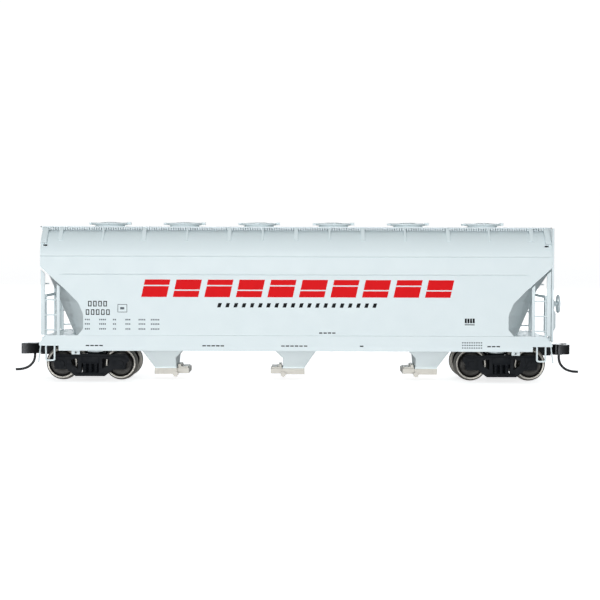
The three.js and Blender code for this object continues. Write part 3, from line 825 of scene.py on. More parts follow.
@dataclass
class BodyShell(SubAssembly):
    """Hollow moulded body with seams, hatch coamings and the brackets of the running boards."""

    half_length: float = 87.6
    half_width: float = 18.45
    bottom: float = 16.25
    shoulder_z: float = 43.4
    shoulder_r: float = 9.5
    wall: float = 1.0
    edge: float = 0.16
    end_wall: float = 2.6
    cut_side: Outline = (
        (87.9, 39.9), (78.4, 31.3), (74.6, 27.4), (72.9, 23.5), (72.9, 18.4), (74.8, 16.2), (74.8, 15),
        (87.9, 15))
    cut_bend: float = 0.7
    slope_foot: Point = (78.6, 17.5)
    slope_head: Point = (87.0, 36.7)
    slope_top: float = 38.76
    slope_half: float = 5.0
    end_slot: Point = (85.9, 17.75, 46.75)
    end_slot_half: Point = (0.7, 1.25)
    end_slot_height: float = 0.55
    seams: Sequence[Point] = ((43.4, -87.5, 87.5), (37.2, -80, 79))
    seam_r: float = 0.22
    groove: Point = (0.36, 0.12)
    groove_depth: float = 0.2
    hatch_pitch: float = 26.4
    coaming: Outline = (
        (0, 52.6), (5.6, 52.6), (5.55, 52.95), (5.3, 53.1), (5.25, 54.1), (5.1, 54.3), (0, 54.3))
    bracket: Outline = ((12.2, 51.9), (16.6, 48.6), (17.1, 48.9), (13.6, 53.2), (12.2, 53.2))
    bracket_places: Sequence[tuple[float, Sequence[float]]] = (
        (1.4, (0, 23, 52.3, 81)), (0.7, (11.5, 37.5, 66.4)))
    corner_bracket: Outline = (
        (12.6, 52.2), (16.4, 48.9), (17.7, 47.6), (18.3, 47.9), (17.3, 49.3), (13.8, 53.2), (12.6, 53.2))
    corner_bracket_x: float = 86.4

    def section(self, inset: float) -> list[Sequence[float]]:
        """Cross-section of the body as (y, z), drawn in by an inset."""
        floor = self.bottom - (1 if inset else 0)
        centre = (self.half_width - self.shoulder_r, self.shoulder_z)
        return mirrored([
            (self.half_width - inset, floor), *arc(centre, self.shoulder_r - inset, 0, 90, 24)])

    def slope_x(self, z: float) -> float:
        """Place of the end slope sheet at a height."""
        (x0, z0), (x1, z1) = self.slope_foot, self.slope_head
        return x0 + (z - z0) * (x1 - x0) / (z1 - z0)

    def end_cutter(self, end: int, inset: float) -> list[Piece]:
        """Makes the closed shapes that clear an end below its slope sheet.

        Args:
            end: +1 or -1 for the end of the car.
            inset: How far the shapes are moved into the car, for the inner side of the wall.

        Returns:
            The middle shape and one for each corner.
        """
        outer = self.cut_side[0][0]
        soft = [tuple(p) for p in bent(self.cut_side, self.cut_bend, 5)]
        side = [(x if x > outer - 0.01 else x - inset, z + 0.45 * inset) for x, z in soft]
        slope = [(x if x > outer - 0.01 else self.slope_x(z) - inset, z) for x, z in soft]
        slope[0] = (outer, self.slope_top + 0.5 * inset)
        reach = self.slope_half - inset

        def ring(outline: Outline, y: float) -> list[Sequence[float]]:
            return [(end * x, y, z) for x, z in outline]

        shapes = [Form().prism(Axis.Y, [(end * x, z) for x, z in slope], -reach - 0.01, reach + 0.01, 0)]
        for hand in (-1, 1):
            shapes.append(Form().loft([
                ring(slope, hand * reach), ring(side, hand * (self.half_width - inset)),
                ring(side, hand * (self.half_width + 2))]))
        return [shape.piece("end_cutter", self.shelf[Slot.BODY]) for shape in shapes]

    def end_slot_tool(self, end: int, hand: int) -> Piece:
        """Makes the block that cuts the slot at a top corner of an end."""
        x, y, z = self.end_slot
        dx, dy = self.end_slot_half
        tool = Form().box(
            (end * x - dx, hand * y - dy, z), (end * x + dx, hand * y + dy, z + self.end_slot_height), 0)
        return tool.piece("slot", self.shelf[Slot.BODY])

    def shell(self) -> None:
        """Cuts both ends off the outer and inner skin and hollows the body."""
        paint = self.shelf[Slot.BODY]
        reach = self.half_length
        outer = Form().prism(Axis.X, self.section(0), -reach, reach, 0).piece("body_shell_skin", paint)
        inner = Form().prism(Axis.X, self.section(self.wall), self.wall - reach, reach - self.wall, 0)
        cavity = inner.piece("cavity", paint)
        carved(outer, [tool for end in (-1, 1) for tool in self.end_cutter(end, 0)])
        carved(cavity, [tool for end in (-1, 1) for tool in self.end_cutter(end, self.end_wall)])
        slots = [self.end_slot_tool(end, hand) for end in (-1, 1) for hand in (-1, 1)]
        carved(outer, [cavity, *slots])
        rounded(outer, self.edge, 2, 40)
        deep = self.half_width - self.groove_depth
        below, above = self.groove
        grooves = []
        for z, start, stop in self.seams:
            for low, high in ((-20, -deep), (deep, 20)):
                tool = Form().box((start - 1, low, z - below), (stop + 1, high, z - above), 0)
                grooves.append(tool.piece("groove", paint))
        carved(outer, grooves)
        outer.data.set_sharp_from_angle(angle=math.radians(40))
        level = outer.modifiers.new("level_normals", "WEIGHTED_NORMAL")
        level.keep_sharp = True
        settle(outer)
        self.put(outer, Slot.BODY, "body_shell")

    def trim(self) -> None:
        """Adds the side seams, the coamings under the hatches and the board brackets."""
        seams = Form()
        for z, start, stop in self.seams:
            for hand in (-1, 1):
                outline = arc((hand * (self.half_width - self.seam_r / 2), z), self.seam_r, 0, 360, 12)
                seams.prism(Axis.X, outline[:-1], start, stop, 0)
        self.extra(seams, "side_seams")

        coaming = Form().turned(Axis.Z, (0, 0, 0), self.coaming, 48)
        pitch = self.hatch_pitch
        self.put(self.row("hatch_coamings", coaming, 6, (-2.5 * pitch, 0, 0), (pitch, 0, 0)), Slot.BODY)

        brackets = Form()
        for side in (-1, 1):
            plain = [(side * y, z) for y, z in self.bracket]
            for width, places in self.bracket_places:
                for x in sorted({hand * place for place in places for hand in (-1, 1)}):
                    brackets.prism(Axis.X, plain, x - width / 2, x + width / 2, 0.1)
            corner = [(side * y, z) for y, z in self.corner_bracket]
            for end in (-1, 1):
                x = end * self.corner_bracket_x
                brackets.prism(Axis.X, corner, x - 1.0, x + 1.0, 0.12)
        self.extra(brackets, "board_brackets")

    def build(self) -> None:
        """Makes the shell and its trim."""
        self.shell()
        self.trim()


@dataclass
class Markings(SubAssembly):
    """Printed panels of plain bars and blocks on both sides, thinner than a tenth of a millimetre."""

    side_y: float = 18.45
    sill_y: float = 18.62
    film: float = 0.02
    band: Point = (-53.0, 55.0)
    band_z: Point = (29.4, 35.4)
    blocks: int = 10
    lean: float = 1.3
    slit: float = 0.42
    slogan: Sequence[float] = (-27, 2.8, 1.2)
    slogan_bars: int = 20
    box_pitch: float = 1.75
    capacity_bars: Sequence[float] = (57.9, 58.8, 59.7, 60.6)
    data_rows: Sequence[float] = (18.15, 19.85, 21.35)
    data_groups: Sequence[Point] = (
        (-72.3, -70.3), (-67.4, -65.0), (-62.7, -61.1), (-58.4, -56.4), (-53.9, -51.3), (-49.7, -46.6))
    sill_groups: Sequence[Point] = ((-72, -66), (-32, -23.5), (-5, 4.5), (22, 24.5), (65.7, 71))

    def bar(self, form: Form, side: int, x: Point, z: Point, lean: float = 0, plane: float = 0) -> None:
        """Adds one printed bar.

        Args:
            form: Form that holds the bars of one ink.
            side: -1 for the near side and +1 for the far side, which is turned half round.
            x: Start and end along the car, as seen from the near side.
            z: Bottom and top.
            lean: How far the top is moved forward.
            plane: Distance of the printed face from the middle; the side sheet when left out.
        """
        face = plane or self.side_y
        near = [(x[0], z[0]), (x[1], z[0]), (x[1] + lean, z[1]), (x[0] + lean, z[1])]
        outline = [(-side * u, v) for u, v in near]
        form.prism(Axis.Y, outline, *sorted((side * (face - 0.03), side * (face + self.film))), 0)

    def band_blocks(self, form: Form, side: int) -> None:
        """Adds the wide band of slanted blocks, each split by a thin slit at its own height."""
        start, stop = self.band
        low, high = self.band_z
        pitch = (stop - start) / self.blocks
        for i in range(self.blocks):
            x0 = start + i * pitch
            x1 = x0 + pitch - 1.7 - self.lean * 0.3
            split = low + (high - low) * (0.36 if i % 2 else 0.62)
            for z0, z1 in ((low, split), (split + self.slit, high)):
                shift = self.lean * (z0 - low) / (high - low)
                self.bar(form, side, (x0 + shift, x1 + shift), (z0, z1), self.lean * (z1 - z0) / (high - low))

    def dashes(
        self, form: Form, side: int, x: Point, z: Point, width: float, gap: float, plane: float = 0
    ) -> None:
        """Adds a row of equal dashes from one place to another."""
        place = x[0]
        while place + width <= x[1] + 0.01:
            self.bar(form, side, (place, place + width), z, 0, plane)
            place += width + gap

    def frame(self, form: Form, side: int, x: Point, z: Point, stroke: float) -> None:
        """Adds the outline of a box, drawn with a stroke of one width."""
        for u in (x[0], x[1] - stroke):
            self.bar(form, side, (u, u + stroke), z)
        for v in (z[0], z[1] - stroke):
            self.bar(form, side, (x[0] + stroke, x[1] - stroke), (v, v + stroke))

    def build(self) -> None:
        """Prints both sides in red, black and grey."""
        red, black, grey = Form(), Form(), Form()
        for side in (-1, 1):
            self.band_blocks(red, side)
            start, pitch, width = self.slogan
            for i in range(self.slogan_bars):
                place = start + pitch * i
                self.bar(black, side, (place, place + width), (25.9, 27.4), 0.45)
            for count, x, z in ((4, -71.2, 26.1), (5, -72.0, 23.2)):
                for i in range(count):
                    place = x + self.box_pitch * i
                    self.frame(black, side, (place, place + 1.2), (z, z + 1.9), 0.3)
            self.frame(grey, side, (-61.1, -57.8), (24.1, 26.9), 0.2)
            self.bar(grey, side, (-60.2, -58.8), (25.1, 25.9))
            for z in self.data_rows:
                for start, stop in self.data_groups:
                    self.dashes(grey, side, (start, stop), (z, z + 0.5), 0.42, 0.2)
            for x in self.capacity_bars:
                self.bar(black, side, (x, x + 0.7), (20.7, 22.3))
            self.bar(black, side, (57.9, 61.3), (20.0, 20.3))
            for z in (14.2, 13.3, 12.4):
                self.dashes(grey, side, (57, 64), (z - 0.4, z), 0.5, 0.3, self.sill_y)
            for x in self.sill_groups:
                self.dashes(black, side, x, (12.5, 12.9), 1.2, 0.35, self.sill_y)
            self.dashes(black, side, (8, 14), (17.0, 17.4), 1.1, 0.4)
        for form, finish in ((red, RED_INK), (black, BLACK_INK), (grey, GREY_INK)):
            self.put(form.piece(finish.name, self.shelf.of(finish)), Slot.BODY)


# ------------------------------------------------------------------ roof


@dataclass
class RoofWalk(SubAssembly):
    """Etched running boards: long bars and cross slats in an edge frame."""

    half_length: float = 88.3
    inner: float = 7.4
    outer: float = 13.6
    bottom: float = 53.25
    top: float = 53.6
    crosswalk: float = 5.4
    slat_pitch: float = 1.4
    slat: float = 0.34
    bar: float = 0.24
    bars: int = 5
    edge: float = 0.45
    teeth: int = 212
    tooth_pitch: float = 0.83
    first_tooth: Point = (-87.6, 13.25)

    def grating(self, name: str, along: Axis, span: Point, across: Point) -> list[Piece]:
        """Makes one stretch of grating.

        Args:
            name: Name that its pieces start with.
            along: X or Y, the way its long bars run.
            span: Start and end of the long bars.
            across: Lowest and highest place across them.

        Returns:
            Frame, long bars and slats as separate pieces of one finish.
        """
        low, high = self.bottom, self.top

        def beam(start: float, stop: float, left: float, right: float, z0: float, z1: float) -> Form:
            if along is Axis.X:
                return Form().box((start, left, z0), (stop, right, z1), 0.05, 1)
            return Form().box((left, start, z0), (right, stop, z1), 0.05, 1)

        def row(part: str, pattern: Form, count: int, first: Point, step: Point) -> Piece:
            return self.row(f"{name}_{part}", pattern, count, first, step, Slot.ETCHED)

        def place(u: float, v: float) -> Point:
            return (u, v, 0) if along is Axis.X else (v, u, 0)

        (start, stop), (left, right) = span, across
        edges = [
            beam(*sides, low, high).piece(f"{name}_edge", self.shelf[Slot.ETCHED]) for sides in (
                (start, stop, left, left + self.edge), (start, stop, right - self.edge, right),
                (start, start + self.edge, left, right), (stop - self.edge, stop, left, right))]
        pitch = (right - left - self.edge) / (self.bars + 1)
        bar = beam(start, stop, -self.bar / 2, self.bar / 2, low + 0.04, high - 0.04)
        bars = row("bars", bar, self.bars, place(0, left + self.edge / 2 + pitch), place(0, pitch))
        number = round((stop - start) / self.slat_pitch) - 1
        step = (stop - start) / (number + 1)
        slat = beam(-self.slat / 2, self.slat / 2, left + 0.1, right - 0.1, low + 0.02, high - 0.1)
        slats = row("slats", slat, number, place(start + step, 0), place(step, 0))
        return [*edges, bars, slats]

    def build(self) -> None:
        """Makes both boards, each with the crosswalk of one end."""
        reach = self.half_length
        for hand, side in SIDES.items():
            across = sorted((side * self.inner, side * self.outer))
            board = self.grating(f"board_{hand}", Axis.X, (-reach, reach), across)
            end = side
            walk = sorted((end * (reach - self.crosswalk), end * reach))
            span = sorted((side * (self.inner - 0.2), -side * (self.inner - 0.06)))
            board += self.grating(f"crosswalk_{hand}", Axis.Y, span, walk)
            self.put(joined(f"running_board_{hand}_skin", board), Slot.ETCHED, f"running_board_{hand}")
            tooth = Form().box((-0.2, -0.2, -0.85), (0.2, 0.2, 0.02), 0)
            x, y = self.first_tooth
            start = (x, side * y, self.bottom)
            teeth = self.row(
                f"board_teeth_{hand}", tooth, self.teeth, start, (self.tooth_pitch, 0, 0), Slot.ETCHED)
            self.put(teeth, Slot.ETCHED)


@dataclass
class Hatches(SubAssembly):
    """Round hatch lids with a crown, a hinge strap and a latch."""

    pitch: float = 26.4
    rim: float = 54.35
    lid_r: float = 6.2
    lid_top: float = 55.0
    crown: float = 55.345

    def lid(self, x: float) -> Form:
        """Draws one lid about its place on the roof."""
        r, rim, top, crown = self.lid_r, self.rim, self.lid_top, self.crown
        form = Form().turned(Axis.Z, (x, 0, 0), (
            (0, rim), (r - 0.08, rim), (r, rim + 0.08), (r, top - 0.25), (r - 0.1, top - 0.1), (r - 0.5, top),
            (5.1, top), (4.9, top - 0.06), (4.6, top - 0.02), (2.6, crown - 0.05), (2.2, crown),
            (0, crown)), 56)
        form.box((x - 7.3, -0.7, rim + 0.12), (x + 7.3, 0.7, top + 0.16), 0.1)
        form.box((x + 6.5, -1.3, rim + 0.05), (x + 7.4, 1.3, crown), 0.12)
        form.rod((x - 6.85, -1.5, rim + 0.45), (x - 6.85, 1.5, rim + 0.45), 0.38, 12)
        for y in (-1.25, 0.75):
            form.box((x - 7.35, y, rim + 0.05), (x - 6.45, y + 0.5, rim + 0.75), 0.08)
        form.rod((x + 6.1, -0.4, top + 0.1), (x + 6.1, -0.4, crown), 0.2, 8)
        return form

    def build(self) -> None:
        """Makes the six lids."""
        for i in range(6):
            self.skin(self.lid((i - 2.5) * self.pitch), f"hatch_cover_{i + 1}")
        dogs = []
        for y in (-6.1, 6.1):
            dog = Form().box((-0.35, y - 0.4, self.rim + 0.02), (0.35, y + 0.4, self.lid_top + 0.1), 0.08, 1)
            dogs.append(self.row("dogs", dog, 6, (-2.5 * self.pitch, 0, 0), (self.pitch, 0, 0)))
        self.put(joined("hatch_dogs", dogs), Slot.BODY)


# ------------------------------------------------------------------ ends


@dataclass
class Ladders(SubAssembly):
    """Side and end ladders with round rungs, and the foot steps below the sills."""

    rung_pitch: float = 5.15
    lowest: float = 18.0
    rung_r: float = 0.25
    side_stiles: Sequence[Point] = ((80.9, 32.8, 1.1), (86.0, 37.4, 1.4))
    side_rung: Point = (84.05, 2.75)
    plane: float = 18.1
    wall_x: float = 87.55
    end_x: float = 88.0
    end_stiles: Point = (-17.75, -12.5)
    end_z: Point = (14.2, 53.2)
    end_rung: Point = (-15.12, 2.7)
    standoffs: Sequence[float] = (17.4, 30, 42.5)
    step_outer: Outline = ((82.5, 12.55), (82.5, 7.3), (86.0, 7.3), (86.0, 12.55))
    step_inner: Outline = ((83.05, 12.55), (83.05, 7.85), (85.45, 7.85), (85.45, 12.55))
    strap: Point = (17.7, 18.4)

    def ladder(self, node: str, stiles: Form, rung: Form, count: int, place: Point) -> None:
        """Joins stiles and a row of rungs to a ladder.

        Args:
            node: CAD node that the ladder stands for.
            stiles: The stiles in their place.
            rung: One rung, about its own middle.
            count: Number of rungs.
            place: Place of the rungs' middles as (x, y).
        """
        rails = stiles.piece("stiles", self.shelf[Slot.BODY])
        rungs = self.row("rungs", rung, count, (*place, self.lowest), (0, 0, self.rung_pitch))
        self.put(joined(f"{node}_skin", [rails, rungs]), Slot.BODY, node)

    def side_ladder(self, letter: str, end: int, hand: str, side: int) -> None:
        """Makes one short ladder in an end opening."""
        form = Form()
        for x, top, wide in self.side_stiles:
            slant = top + 0.88 * wide
            outline = [(end * u, z) for u, z in ((x, 16.3), (x + wide, 16.3), (x + wide, slant), (x, top))]
            form.prism(Axis.Y, outline, side * self.plane - 0.35, side * self.plane + 0.35, 0.1)
        x, half = self.side_rung
        rung = Form().rod((-half, 0, 0), (half, 0, 0), self.rung_r, 10, 0.02)
        self.ladder(f"side_ladder_{letter}_{hand}", form, rung, 3, (end * x, side * self.plane))

    def end_ladder(self, letter: str, end: int) -> None:
        """Makes the tall ladder up one end, beside its right-hand corner."""
        form = Form()
        x = end * self.end_x
        inner, outer = sorted((x, end * self.wall_x))
        for place in self.end_stiles:
            y = end * place
            form.box((x - 0.35, y - 0.7, self.end_z[0]), (x + 0.35, y + 0.7, self.end_z[1]), 0.12)
            for z in self.standoffs:
                form.box((inner, y - 0.5, z), (outer, y + 0.5, z + 1.0), 0.06, 1)
        y, half = self.end_rung
        rung = Form().rod((0, -half, 0), (0, half, 0), self.rung_r, 10, 0.02)
        self.ladder(f"end_ladder_{letter}", form, rung, 7, (x, end * y))

    def stirrup(self, letter: str, end: int, hand: str, side: int) -> None:
        """Makes a foot step bent from flat strap."""
        outer = bent(self.step_outer, 0.9, 5)
        inner = bent(self.step_inner, 0.5, 5)
        near, far = (side * y for y in self.strap)
        rows = [
            [(end * u0, near, z0), (end * u0, far, z0), (end * u1, far, z1), (end * u1, near, z1)]
            for (u0, z0), (u1, z1) in zip(outer, inner)]
        self.skin(Form().loft(rows, 0.06, 1), f"stirrup_step_{letter}_{hand}")

    def build(self) -> None:
        """Makes the ladders and steps of both ends."""
        for letter, end in ENDS.items():
            self.end_ladder(letter, end)
            for hand, turn in (("left", -1), ("right", 1)):
                self.side_ladder(letter, end, hand, end * turn)
                self.stirrup(letter, end, hand, end * turn)


# ------------------------------------------------------------------ underframe


@dataclass
class Underframe(SubAssembly):
    """Sills, floor and platforms, with the outlets and their gates below."""

    sill_plane: float = 18.62
    bays: Sequence[tuple[float, int]] = ((-46.5, 1), (0.0, -1), (46.5, -1))
    bay_rings: Sequence[Point] = (
        (10.6, 10.6, 16.4, 15.55), (10.6, 10.6, 16.4, 14.6), (7.3, 7.6, 12.4, 10.9), (5.3, 4.6, 9.9, 7.9),
        (2.9, 4.5, 6.9, 4.05))
    flange: Point = (10.75, 16.55)
    collar: Point = (3.1, 4.65)
    jack_x: float = 75.5
    jack_hole: Outline = ((-0.5, 9.95), (0.5, 9.95), (0, 10.75))
    pipe_half: Sequence[Point] = ((80, 5.2, 14.2), (60, 5.2, 14.2), (57, 6.2, 15.1))
    pipe_clips: Sequence[float] = (12.5, 34.5, 64)
    rivets: int = 9
    rivet_pitch: float = 1.55
    rivet: Outline = ((0, 0.16), (0.14, 0.13), (0.24, 0.04), (0.26, -0.05), (0, -0.05))

    def sills(self) -> None:
        """Makes the one-piece underframe, its sills drawn in by the thickness of the print."""
        skin = refined("underframe", 0.14, self.shelf[Slot.BODY])
        limit = self.sill_plane * MM
        for vertex in skin.data.vertices:
            vertex.co.y = max(-limit, min(limit, vertex.co.y))
        holes = []
        for end in (-1, 1):
            for low, high in ((-19, -17), (17, 19)):
                outline = [(end * self.jack_x + u, z) for u, z in self.jack_hole]
                hole = Form().prism(Axis.Y, outline, low, high, 0)
                holes.append(hole.piece("jack_hole", self.shelf[Slot.BODY]))
        carved(skin, holes)
        self.put(skin, Slot.BODY, "underframe")

    def small_fittings(self) -> None:
        """Adds the brake pipe under the floor and the rivets of the end platforms."""
        route = [(-x, y, z) for x, y, z in self.pipe_half]
        form = Form().wire((*route, *self.pipe_half[::-1]), 0.35, 1.5)
        for place in self.pipe_clips:
            for x in (-place, place):
                form.box((x - 0.4, 5.0, 14.2), (x + 0.4, 6.9, 15.6), 0.06, 1)
        self.extra(form, "brake_pipe")
        rows = []
        for end in (-1, 1):
            for side in (-1, 1):
                rows.append(self.row(
                    "rivets", Form().turned(Axis.Z, (0, 0, 0), self.rivet, 10), self.rivets,
                    (end * 70.5, side * 16.2, 16.2), (end * self.rivet_pitch, 0, 0)))
        self.put(joined("platform_rivets", rows), Slot.BODY)

    def bay(self, number: int, x: float, towards: int) -> None:
        """Makes a funnel with its top flange and the collar over the gate.

        Args:
            number: Number of the bay.
            x: Its place along the car.
            towards: The way along X in which its gate slides open.
        """
        rings = []
        for away, near, v, z in self.bay_rings:
            left, right = sorted((x - towards * away, x + towards * near))
            rings.append([(left, -v, z), (right, -v, z), (right, v, z), (left, v, z)])
        form = Form().loft(rings, 0.22)
        half, reach = self.flange
        form.box((x - half, -reach, 14.9), (x + half, reach, 15.5), 0.1)
        away, near = self.collar
        left, right = sorted((x - towards * away, x + towards * near))
        form.box((left, -7.2, 4.02), (right, 7.2, 4.5), 0.12, 1)
        self.skin(form, f"hopper_bay_{number}")

    def build(self) -> None:
        """Makes the underframe, bays and gates."""
        self.sills()
        self.small_fittings()
        for i, (x, towards) in enumerate(self.bays):
            self.bay(i + 1, x, towards)
            self.softened(f"outlet_gate_{i + 1}", 0.12, Slot.OUTLET)


@dataclass
class BrakeGear(SubAssembly):
    """Brake wheel, housing and the air gear under the floor."""

    centre: Point = (92.2, -5.5, 27.0)
    radius: float = 3.3
    rim: float = 0.4
    spokes: int = 5
    spoke_half: float = 0.14
    plate_x: Point = (87.75, 88.4)
    gear_x: Point = (88.3, 90.6)
    bell_x: float = 90.4
    bell: Outline = ((0, 0), (1.55, 0), (1.5, 0.3), (1.1, 0.55), (0, 0.6))
    bolts_y: Point = (-2.25, 2.9)
    bolts_z: Sequence[float] = (-9.4, -5, 1.9)
    links: int = 4
    tank_top: float = 14.95
    chain_guard: Outline = ((88.3, 17), (90.2, 17), (91.2, 18.6), (91.2, 23.6), (90.5, 25), (88.3, 25))

    def wheel(self) -> None:
        """Makes the wheel: a round rim, flat dished spokes and a hub."""
        x, y, z = self.centre
        form = Form()
        rim = self.radius - self.rim
        form.turned(Axis.X, (x, y, z), [(rim + r, a) for r, a in circle(self.rim, 12)], 48)
        form.turned(Axis.X, (x, y, z), (
            (0, -1.1), (0.75, -1.1), (0.75, 0.1), (0.55, 0.25), (0.3, 0.3), (0.28, 0.35), (0, 0.35)), 20)
        hub = Vector((x - 0.15, y, z))
        for cosine, sine in circle(1, self.spokes):
            out = Vector((0, -sine, cosine))
            side = Vector((0, cosine, sine))
            rings = []
            for reach, width, ahead in ((0.4, 0.34, 0), (rim * 0.5, 0.24, -0.12), (rim, 0.3, 0.1)):
                middle = hub + out * reach + Vector((ahead, 0, 0))
                corners = ((-1, -1), (1, -1), (1, 1), (-1, 1))
                rings.append([
                    middle + side * width * a + Vector((self.spoke_half * b, 0, 0)) for a, b in corners])
            form.loft(rings, 0.04, 1)
        self.skin(form, "brake_wheel")

    def housing(self) -> None:
        """Makes the gear housing with its back plate, bell and chain guard."""
        y, z = self.centre[1:]
        form = Form()
        form.box((self.plate_x[0], y - 2.7, 16.6), (self.plate_x[1], y + 3.4, z + 2.6), 0.12)
        form.box((self.gear_x[0], y - 2.1, z - 2.2), (self.gear_x[1], y + 2.1, z + 1.7), 0.45, 3)
        form.turned(Axis.X, (self.bell_x, y, z), self.bell, 24)
        form.prism(Axis.Y, self.chain_guard, y - 1.5, y + 1.5, 0.3, 3)
        for dy in self.bolts_y:
            for dz in self.bolts_z:
                form.rod((88.3, y + dy, z + dz), (88.75, y + dy, z + dz), 0.28, 6, 0.05)
        self.skin(form, "brake_housing")
        link = Form().turned(Axis.X, (0, 0, 0), [(0.32 + u, v) for u, v in circle(0.12, 6)], 10)
        self.put(self.copies.grow(
            "brake_chain", link, self.shelf[Slot.BODY], self.links, (89.6, y, 16.6), (0, 0, -0.75),
            (0, 0, 90)), Slot.BODY)

    def tank(self, name: str, x: float, y: float, radius: float, length: float, neck: float) -> None:
        """Makes a cylinder with domed heads and its two straps.

        Args:
            name: Name of its CAD node.
            x: Place of its middle along the car.
            y: Place of its middle across the car.
            radius: Its radius.
            length: Length of its straight part.
            neck: Height of each domed head.
        """
        z = self.tank_top - radius
        head = [(radius * u, length / 2 + neck * v) for u, v in ((1, 0), (0.82, 0.5), (0.5, 0.9), (0, 1))]
        form = Form().turned(Axis.X, (x, y, z), [*[(r, -a) for r, a in head[::-1]], *head], 28)
        band = radius + 0.09
        for share in (-0.3, 0.3):
            place = x + share * length
            form.turned(Axis.X, (place, y, z), ((0, -0.4), (band, -0.4), (band, 0.4), (0, 0.4)), 28)
            form.box((place - 0.4, y - 0.8, z), (place + 0.4, y + 0.8, 15.55), 0.06, 1)
        self.skin(form, name)

    def build(self) -> None:
        """Makes all brake gear."""
        self.wheel()
        self.housing()
        self.tank("air_reservoir", 23, 9, 1.9, 9, 0.5)
        self.tank("brake_cylinder", -23, -8, 1.7, 5.6, 0.7)
        self.softened("control_valve", 0.15)


# ------------------------------------------------------------------ trucks


@dataclass
class Truck(SubAssembly):
    """A two-axle truck: cast side frames, springs, brake gear and turned wheels."""

    letter: str = "a"
    centre_x: float = -71.35
    wheelbase: float = 20.4
    axle_z: float = 5.9
    cap_y: Point = (13.9, 14.03)
    rib_y: Point = (13.1, 13.45)
    beam_x: float = 3.7
    spring_turns: float = 4.5
    spring_r: float = 0.62
    spring_wire: float = 0.16
    spring_z: Point = (2.45, 6.1)
    spring_pitch: float = 1.9
    tread_r: float = 4.55
    wheel_profile: Outline = (
        (0.86, 7.6), (4.2, 7.6), (4.45, 7.5), (4.6, 7.27), (5.4, 7.25), (5.75, 7.3), (5.88, 7.42),
        (5.9, 7.55), (5.8, 7.75), (5.55, 7.9), (5.4, 8.1), (5.36, 8.4), (5.22, 9.95), (5.12, 10.05),
        (4.62, 10.05), (4.5, 9.95), (4.3, 9.35), (4.1, 9.2), (3.4, 9.12), (2.3, 9.14), (1.95, 9.25),
        (1.75, 9.6), (1.65, 9.7), (0.86, 9.7))
    axle_end: Outline = ((0.8, 11.4), (0.72, 11.55), (0.22, 12.55), (0, 12.6))

    def bearing_cap(self, form: Form, x: float, side: int) -> None:
        """Adds the low round cap over an axle end, with its three bolts."""
        start, stop = (side * y for y in self.cap_y)
        profile = ((0, start), (1.25, start), (1.1, stop), (0, stop))
        form.turned(Axis.Y, (x, 0, self.axle_z), profile[::side], 20)
        for degrees in (90, 210, 330):
            angle = math.radians(degrees)
            u = x + 0.85 * math.cos(angle)
            v = self.axle_z + 0.85 * math.sin(angle)
            form.rod((u, side * 13.8, v), (u, side * 14.05, v), 0.22, 6, 0.03)

    def rib(self, form: Form, side: int, z: Point, half: Point) -> None:
        """Adds a flared rib along a side frame.

        Args:
            form: Form that holds the castings.
            side: -1 or +1 for the side of the truck.
            z: Its bottom and top.
            half: Half its length at the bottom and at the top.
        """
        outline = [
            (self.centre_x + hand * reach, height) for hand, reach, height in (
                (-1, half[0], z[0]), (1, half[0], z[0]), (1, half[1], z[1]), (-1, half[1], z[1]))]
        form.prism(Axis.Y, outline, *sorted(side * y for y in self.rib_y), 0.08)

    def frame_casting(self) -> None:
        """Makes the frame with bearing caps, ribs and brake beams."""
        body = f"truck_{self.letter}"
        self.softened(f"truck_frame_{self.letter}", 0.2, Slot.BLACK, body)
        x = self.centre_x
        form = Form()
        for side in (-1, 1):
            for axle in (-1, 1):
                self.bearing_cap(form, x + axle * self.wheelbase / 2, side)
            self.rib(form, side, (8.4, 8.9), (11.8, 12.2))
            self.rib(form, side, (2.5, 2.9), (4.6, 4.9))
            low, high = sorted(side * y for y in self.rib_y)
            form.box((x - 3.1, low, 6.2), (x + 3.1, high, 8.7), 0.15)
            beam = x + side * self.beam_x
            form.box((beam - 0.35, -11, 4.3), (beam + 0.35, 11, 7.2), 0.12)
        # The spring plank, and the deep middle of the bolster above it.
        form.box((x - 3, -11.5, 1.9), (x + 3, 11.5, 3.2), 0.15)
        form.box((x - 2.6, -10.8, 3.1), (x + 2.6, 10.8, 6.4), 0.2)
        self.extra(form, f"truck_castings_{self.letter}", Slot.BLACK, body)

    def springs(self) -> None:
        """Winds the coil springs in both side windows."""
        low, high = self.spring_z
        steps = 60
        path = []
        for i in range(steps + 1):
            angle = 2 * math.pi * self.spring_turns * i / steps
            u, v = self.spring_r * math.cos(angle), self.spring_r * math.sin(angle)
            path.append(Vector((u, v, low + (high - low) * i / steps)))
        sets = []
        for side in (-1, 1):
            spring = Form().tube(path, self.spring_wire, 6)
            start = (self.centre_x - self.spring_pitch, side * 12.95, 0)
            sets.append(self.row("springs", spring, 3, start, (self.spring_pitch, 0, 0), Slot.BLACK))
        self.put(joined(f"truck_springs_{self.letter}", sets), Slot.BLACK, body=f"truck_{self.letter}")

    def wheelset(self, number: int, axle: int) -> None:
        """Turns one axle and both its wheels."""
        x = self.centre_x + axle * self.wheelbase / 2
        body = f"wheelset_{self.letter}{number}"
        for hand, side in SIDES.items():
            profile = [(r, side * y) for r, y in self.wheel_profile]
            form = Form().turned(Axis.Y, (x, 0, self.axle_z), profile, 64)
            name = f"wheel_{self.letter}{number}_{hand}"
            piece = form.piece(f"{name}_skin", self.shelf[Slot.WHEEL], 40)
            self.keep_radius(piece, x)
            self.put(piece, Slot.WHEEL, name, body=body)
        left = [(r, -y) for r, y in reversed(self.axle_end)]
        shaft = Form().turned(Axis.Y, (x, 0, self.axle_z), (*left, *self.axle_end), 28)
        self.skin(shaft, f"axle_{self.letter}{number}", Slot.AXLE, body)

